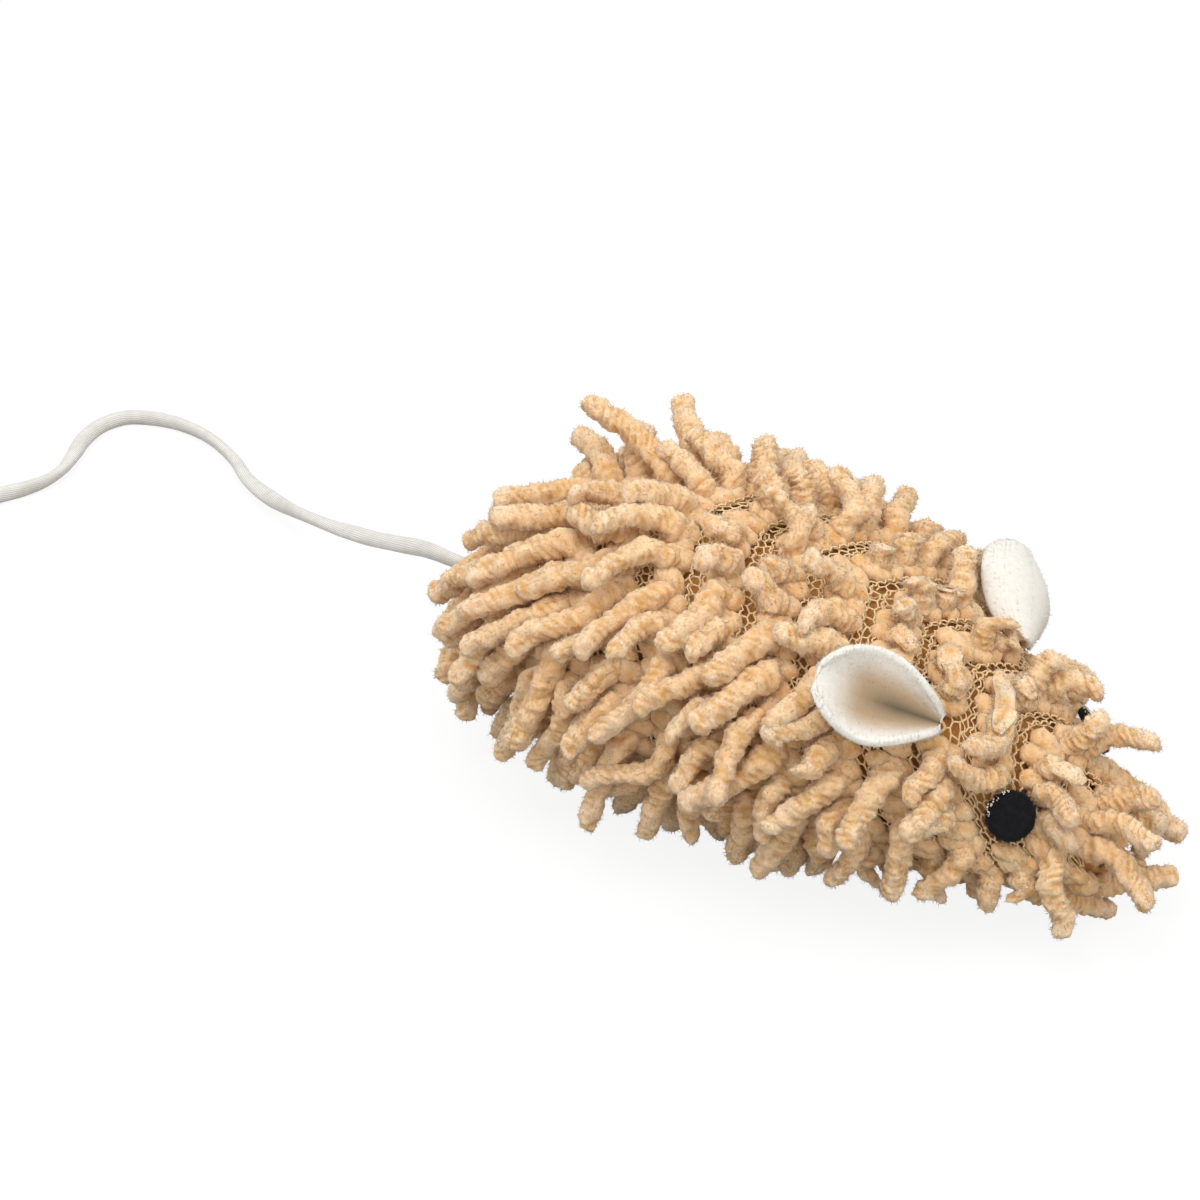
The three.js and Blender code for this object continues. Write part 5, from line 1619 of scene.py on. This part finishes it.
class MOUSE_OT_eyes(bpy.types.Operator):
    """Glue on the felt eyes"""

    bl_idname = "mouse.eyes"
    bl_label = "Eyes"

    def execute(self, context):
        felt = context.scene.mouse_felt
        black = felt_material("black_wool_felt", felt.eye_colour, felt.eye_shade_colour, 0.08)
        clear = glue_material()
        point, forward, side, out = body_place(EYE_FROM_NOSE, EYE_ANGLE)
        axes = np.stack([forward, side, out])
        rows = 26
        columns = 64
        glue_rows = 12
        random = np.random.default_rng(17)
        for name, mirror in (("right", 1), ("left", -1)):
            turn = np.linspace(-math.pi / 2, math.pi / 2, rows)
            radius = EYE_DIAMETER / 2 * np.cos(turn) ** 0.35
            height = EYE_THICKNESS / 2 * (1 + np.sign(np.sin(turn)) * np.abs(np.sin(turn)) ** 0.6)
            profile = np.stack([np.maximum(radius, 0.02), height + GLUE_THICKNESS + 2 * CLEARANCE], axis=1)
            wobble = np.broadcast_to(random.normal(0, 0.016, columns), (rows, columns))
            rings = point + round_rings(profile, wobble + random.normal(0, 0.004, (rows, columns))) @ axes
            rings = rings * (1, mirror, 1)
            skin = closed_skin(rings)
            edge = random.integers(4, 23, EYE_FIBRES), random.integers(0, columns, EYE_FIBRES)
            fuzz = nap_skin(rings[edge], unit(rings[edge] - rings.mean(axis=(0, 1))), 0.3, 0.035, random)
            make_piece(f"{name}_felt_eye", joined(skin, fuzz), black, "body", [f"{name}_eye"])
            turn = np.linspace(-math.pi / 2, math.pi / 2, glue_rows)
            profile = np.stack([np.maximum(GLUE_DIAMETER / 2 * np.cos(turn), 0.02),
                                CLEARANCE + GLUE_THICKNESS / 2 * (1 + np.sin(turn))], axis=1)
            lobes = np.broadcast_to(0.12 * np.sin(3 * full_turn(columns) + 1), (glue_rows, columns))
            rings = (point + round_rings(profile, lobes) @ axes) * (1, mirror, 1)
            skin = closed_skin(rings)
            specks = (point + speck_places(34, random) @ axes) * (1, mirror, 1)
            skin = joined(skin, speck_skins(specks, random.uniform(0.05, 0.12, len(specks))))
            make_piece(f"{name}_glue_dab", skin, clear, "body", [f"{name}_eye_glue"])
        return {"FINISHED"}


# Half the gap between the pouch's sheets and between the wads, and the columns of the stuffing's rings
POUCH_SPLIT = CLEARANCE / 2
STUFFING_COLUMNS = 64


def lay_wads(fibre):
    """Lays the two wads of fibre, with a face dented round the pouch and a blunt end.

    Their rings follow the fabric's at a depth, drawn in by two slow waves, and shrink on the face and at
    the end. The dent is a paraboloid.
    """
    face_rows = 24
    shaft_rows = 40
    end_rows = 8
    angle = full_turn(STUFFING_COLUMNS)
    room = POUCH_SHEET + 3 * CLEARANCE
    dome_radius = POUCH_DIAMETER / 2 + 2 * CLEARANCE
    dent_radius = POUCH_DIAMETER / 2 + POUCH_RIM + 2 * CLEARANCE
    wads = {
        "head": (POUCH_FORWARD + POUCH_SPLIT, HEAD_LENGTH - TIP_FREE, 1),
        "rump": (POUCH_FORWARD - POUCH_SPLIT, TAIL_KNOT_LENGTH + TIP_FREE - RUMP_LENGTH, -1),
    }
    for name, (face, tip, way) in wads.items():
        shaft = np.linspace(face, tip, shaft_rows)
        alongs = np.concatenate([np.full(face_rows, face), shaft, np.full(end_rows, tip)])
        face_shrink = np.linspace(0.02, 0.985, face_rows)
        shrink = np.concatenate([face_shrink, np.ones(shaft_rows), np.linspace(0.97, 0.05, end_rows)])
        station, turns = np.broadcast_arrays(((alongs + RUMP_LENGTH) / BODY_LENGTH)[:, None], angle)
        rim = layer_point(station, turns, np.full(station.shape, FILLING_DEPTH))
        heart = rim.mean(axis=1, keepdims=True)
        lumps = 0.02 * np.sin(3 * angle + alongs[:, None] / 4)
        lumps = lumps + 0.02 * np.sin(5 * angle - alongs[:, None] / 3)
        rings = heart + (rim - heart) * (shrink[:, None] * (0.96 + lumps))[..., None]
        far = np.hypot(rings[..., 1], rings[..., 2] - MIDDLE_HEIGHT)
        dome = room + POUCH_HEIGHT * np.clip(1 - (far / dome_radius) ** 2, 0, 1)
        dent = np.where(far < dent_radius, dome, 0)
        dent[face_rows:] = 0
        rings[..., 0] += way * dent
        skin = closed_skin(rings)
        wad = make_piece(f"{name}_wad", skin, fibre, "body", [f"{name}_filling"])


def lay_pouch(herb, muslin):
    """Lays the crushed catnip and the two domed muslin sheets that meet at their rims."""
    rows = 30
    random = np.random.default_rng(29)
    centre = np.array((POUCH_FORWARD, 0, MIDDLE_HEIGHT))
    turned = np.array([[0, 0, 1], [0, 1, 0], [1, 0, 0]])
    turn = np.linspace(-math.pi / 2, math.pi / 2, rows)
    radius = (POUCH_DIAMETER / 2 - 2 * CLEARANCE) * np.cos(turn)
    height = (POUCH_HEIGHT - CLEARANCE) * np.sin(turn) * np.abs(np.sin(turn))
    profile = np.stack([np.maximum(radius, 0.05), height], axis=1)
    crumbs = -np.abs(random.normal(0, 0.025, (rows, STUFFING_COLUMNS)))
    rings = centre + round_rings(profile, crumbs) @ turned
    make_piece("crushed_catnip", closed_skin(rings), herb, "body", ["dried_catnip"])
    rim_radius = POUCH_DIAMETER / 2 + POUCH_RIM
    radius = np.linspace(0.1, rim_radius, rows)
    dome = POUCH_HEIGHT * np.clip(1 - (radius / (POUCH_DIAMETER / 2)) ** 2, 0, 1)
    under = np.stack([radius, POUCH_SPLIT + dome], axis=1)
    over = under[::-1] + (0, POUCH_SHEET)
    domed = round_rings(np.concatenate([under, over]), np.zeros((2 * rows, STUFFING_COLUMNS)))
    for name, way in (("front", 1), ("back", -1)):
        skin = closed_skin(centre + domed * (1, 1, way) @ turned)
        sheet = make_piece(f"{name}_muslin", skin, muslin, "body", [f"sachet_{name}_sheet"])


def tie_tail_knot(satin):
    """Ties the end of the tail's cord in a trefoil inside the body, with a stub out to the hole."""
    low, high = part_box("tail_anchor_knot")
    knot_low = np.array(low) / MM - SHIFT
    knot_high = np.array(high) / MM - SHIFT
    middle = np.array((knot_high[0] - TAIL_KNOT_LENGTH / 2, 0, TAIL_HOLE_HEIGHT))
    turn = np.linspace(0.4, 2 * math.pi - 0.3, 160)
    loops = np.stack([np.sin(3 * turn) * 0.9, np.sin(turn) + 2 * np.sin(2 * turn),
                      np.cos(turn) - 2 * np.cos(2 * turn)], axis=1)
    knot = coil_skin(middle + loops * (0.9, 0.62, 0.62), 0.95, 12)
    way_out = np.linspace((knot_low[0] + 0.2, 0, TAIL_HOLE_HEIGHT), middle, 12)
    stub = coil_skin(way_out, TAIL_DIAMETER / 2 * 0.9, 12)
    for name, skin in (("tail_knot", knot), ("tail_stub", stub)):
        make_piece(name, skin, satin, "body", ["tail_anchor_knot"])


class MOUSE_OT_stuffing(bpy.types.Operator):
    """Fill the body with fibre, the catnip pouch and the tail's knot"""

    bl_idname = "mouse.stuffing"
    bl_label = "Stuffing"

    def execute(self, context):
        fibre = stuffing_material("crimped_polyester_fibre", "#f4f1e8", "#d9d3c4", 1.5 * MM)
        muslin = stuffing_material("cotton_muslin", "#ece3cd", "#cfc2a3", 0.6 * MM)
        herb = stuffing_material("dried_crushed_leaf", "#8b9457", "#4c5429", 1.2 * MM)
        satin = satin_material(context.scene.mouse_tail)
        lay_wads(fibre)
        lay_pouch(herb, muslin)
        tie_tail_knot(satin)
        return {"FINISHED"}


class MOUSE_PT_parts(bpy.types.Panel):
    """Sidebar list of the mouse's pieces"""

    bl_idname = "MOUSE_PT_parts"
    bl_label = "Catnip Mouse"
    bl_space_type = "VIEW_3D"
    bl_region_type = "UI"
    bl_category = "Mouse"

    def draw(self, context):
        for operator in OPERATORS:
            self.layout.operator(operator.bl_idname)


GROUPS = {
    "mouse_pile": MousePile,
    "mouse_knit": MouseKnit,
    "mouse_felt": MouseFelt,
    "mouse_tail": MouseTail,
    "mouse_stage": MouseStage,
}
OPERATORS = (
    MOUSE_OT_stage, MOUSE_OT_tail, MOUSE_OT_pile, MOUSE_OT_ground, MOUSE_OT_seams, MOUSE_OT_ears,
    MOUSE_OT_eyes, MOUSE_OT_stuffing,
)


def register():
    """Registers the classes and hangs the settings on the scene."""
    for name, group in GROUPS.items():
        bpy.utils.register_class(group)
        setattr(bpy.types.Scene, name, bpy.props.PointerProperty(type=group))
    for operator in OPERATORS:
        bpy.utils.register_class(operator)
    bpy.utils.register_class(MOUSE_PT_parts)


def unregister():
    """Takes the classes and settings off again."""
    bpy.utils.unregister_class(MOUSE_PT_parts)
    for operator in reversed(OPERATORS):
        bpy.utils.unregister_class(operator)
    for name, group in reversed(GROUPS.items()):
        delattr(bpy.types.Scene, name)
        bpy.utils.unregister_class(group)


def main():
    """Registers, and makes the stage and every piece."""
    register()
    bpy.ops.mouse.stage()
    bpy.ops.mouse.tail()
    bpy.ops.mouse.pile()
    bpy.ops.mouse.ground()
    bpy.ops.mouse.seams()
    bpy.ops.mouse.ears()
    bpy.ops.mouse.eyes()
    bpy.ops.mouse.stuffing()


if __name__ == "__main__":
    main()
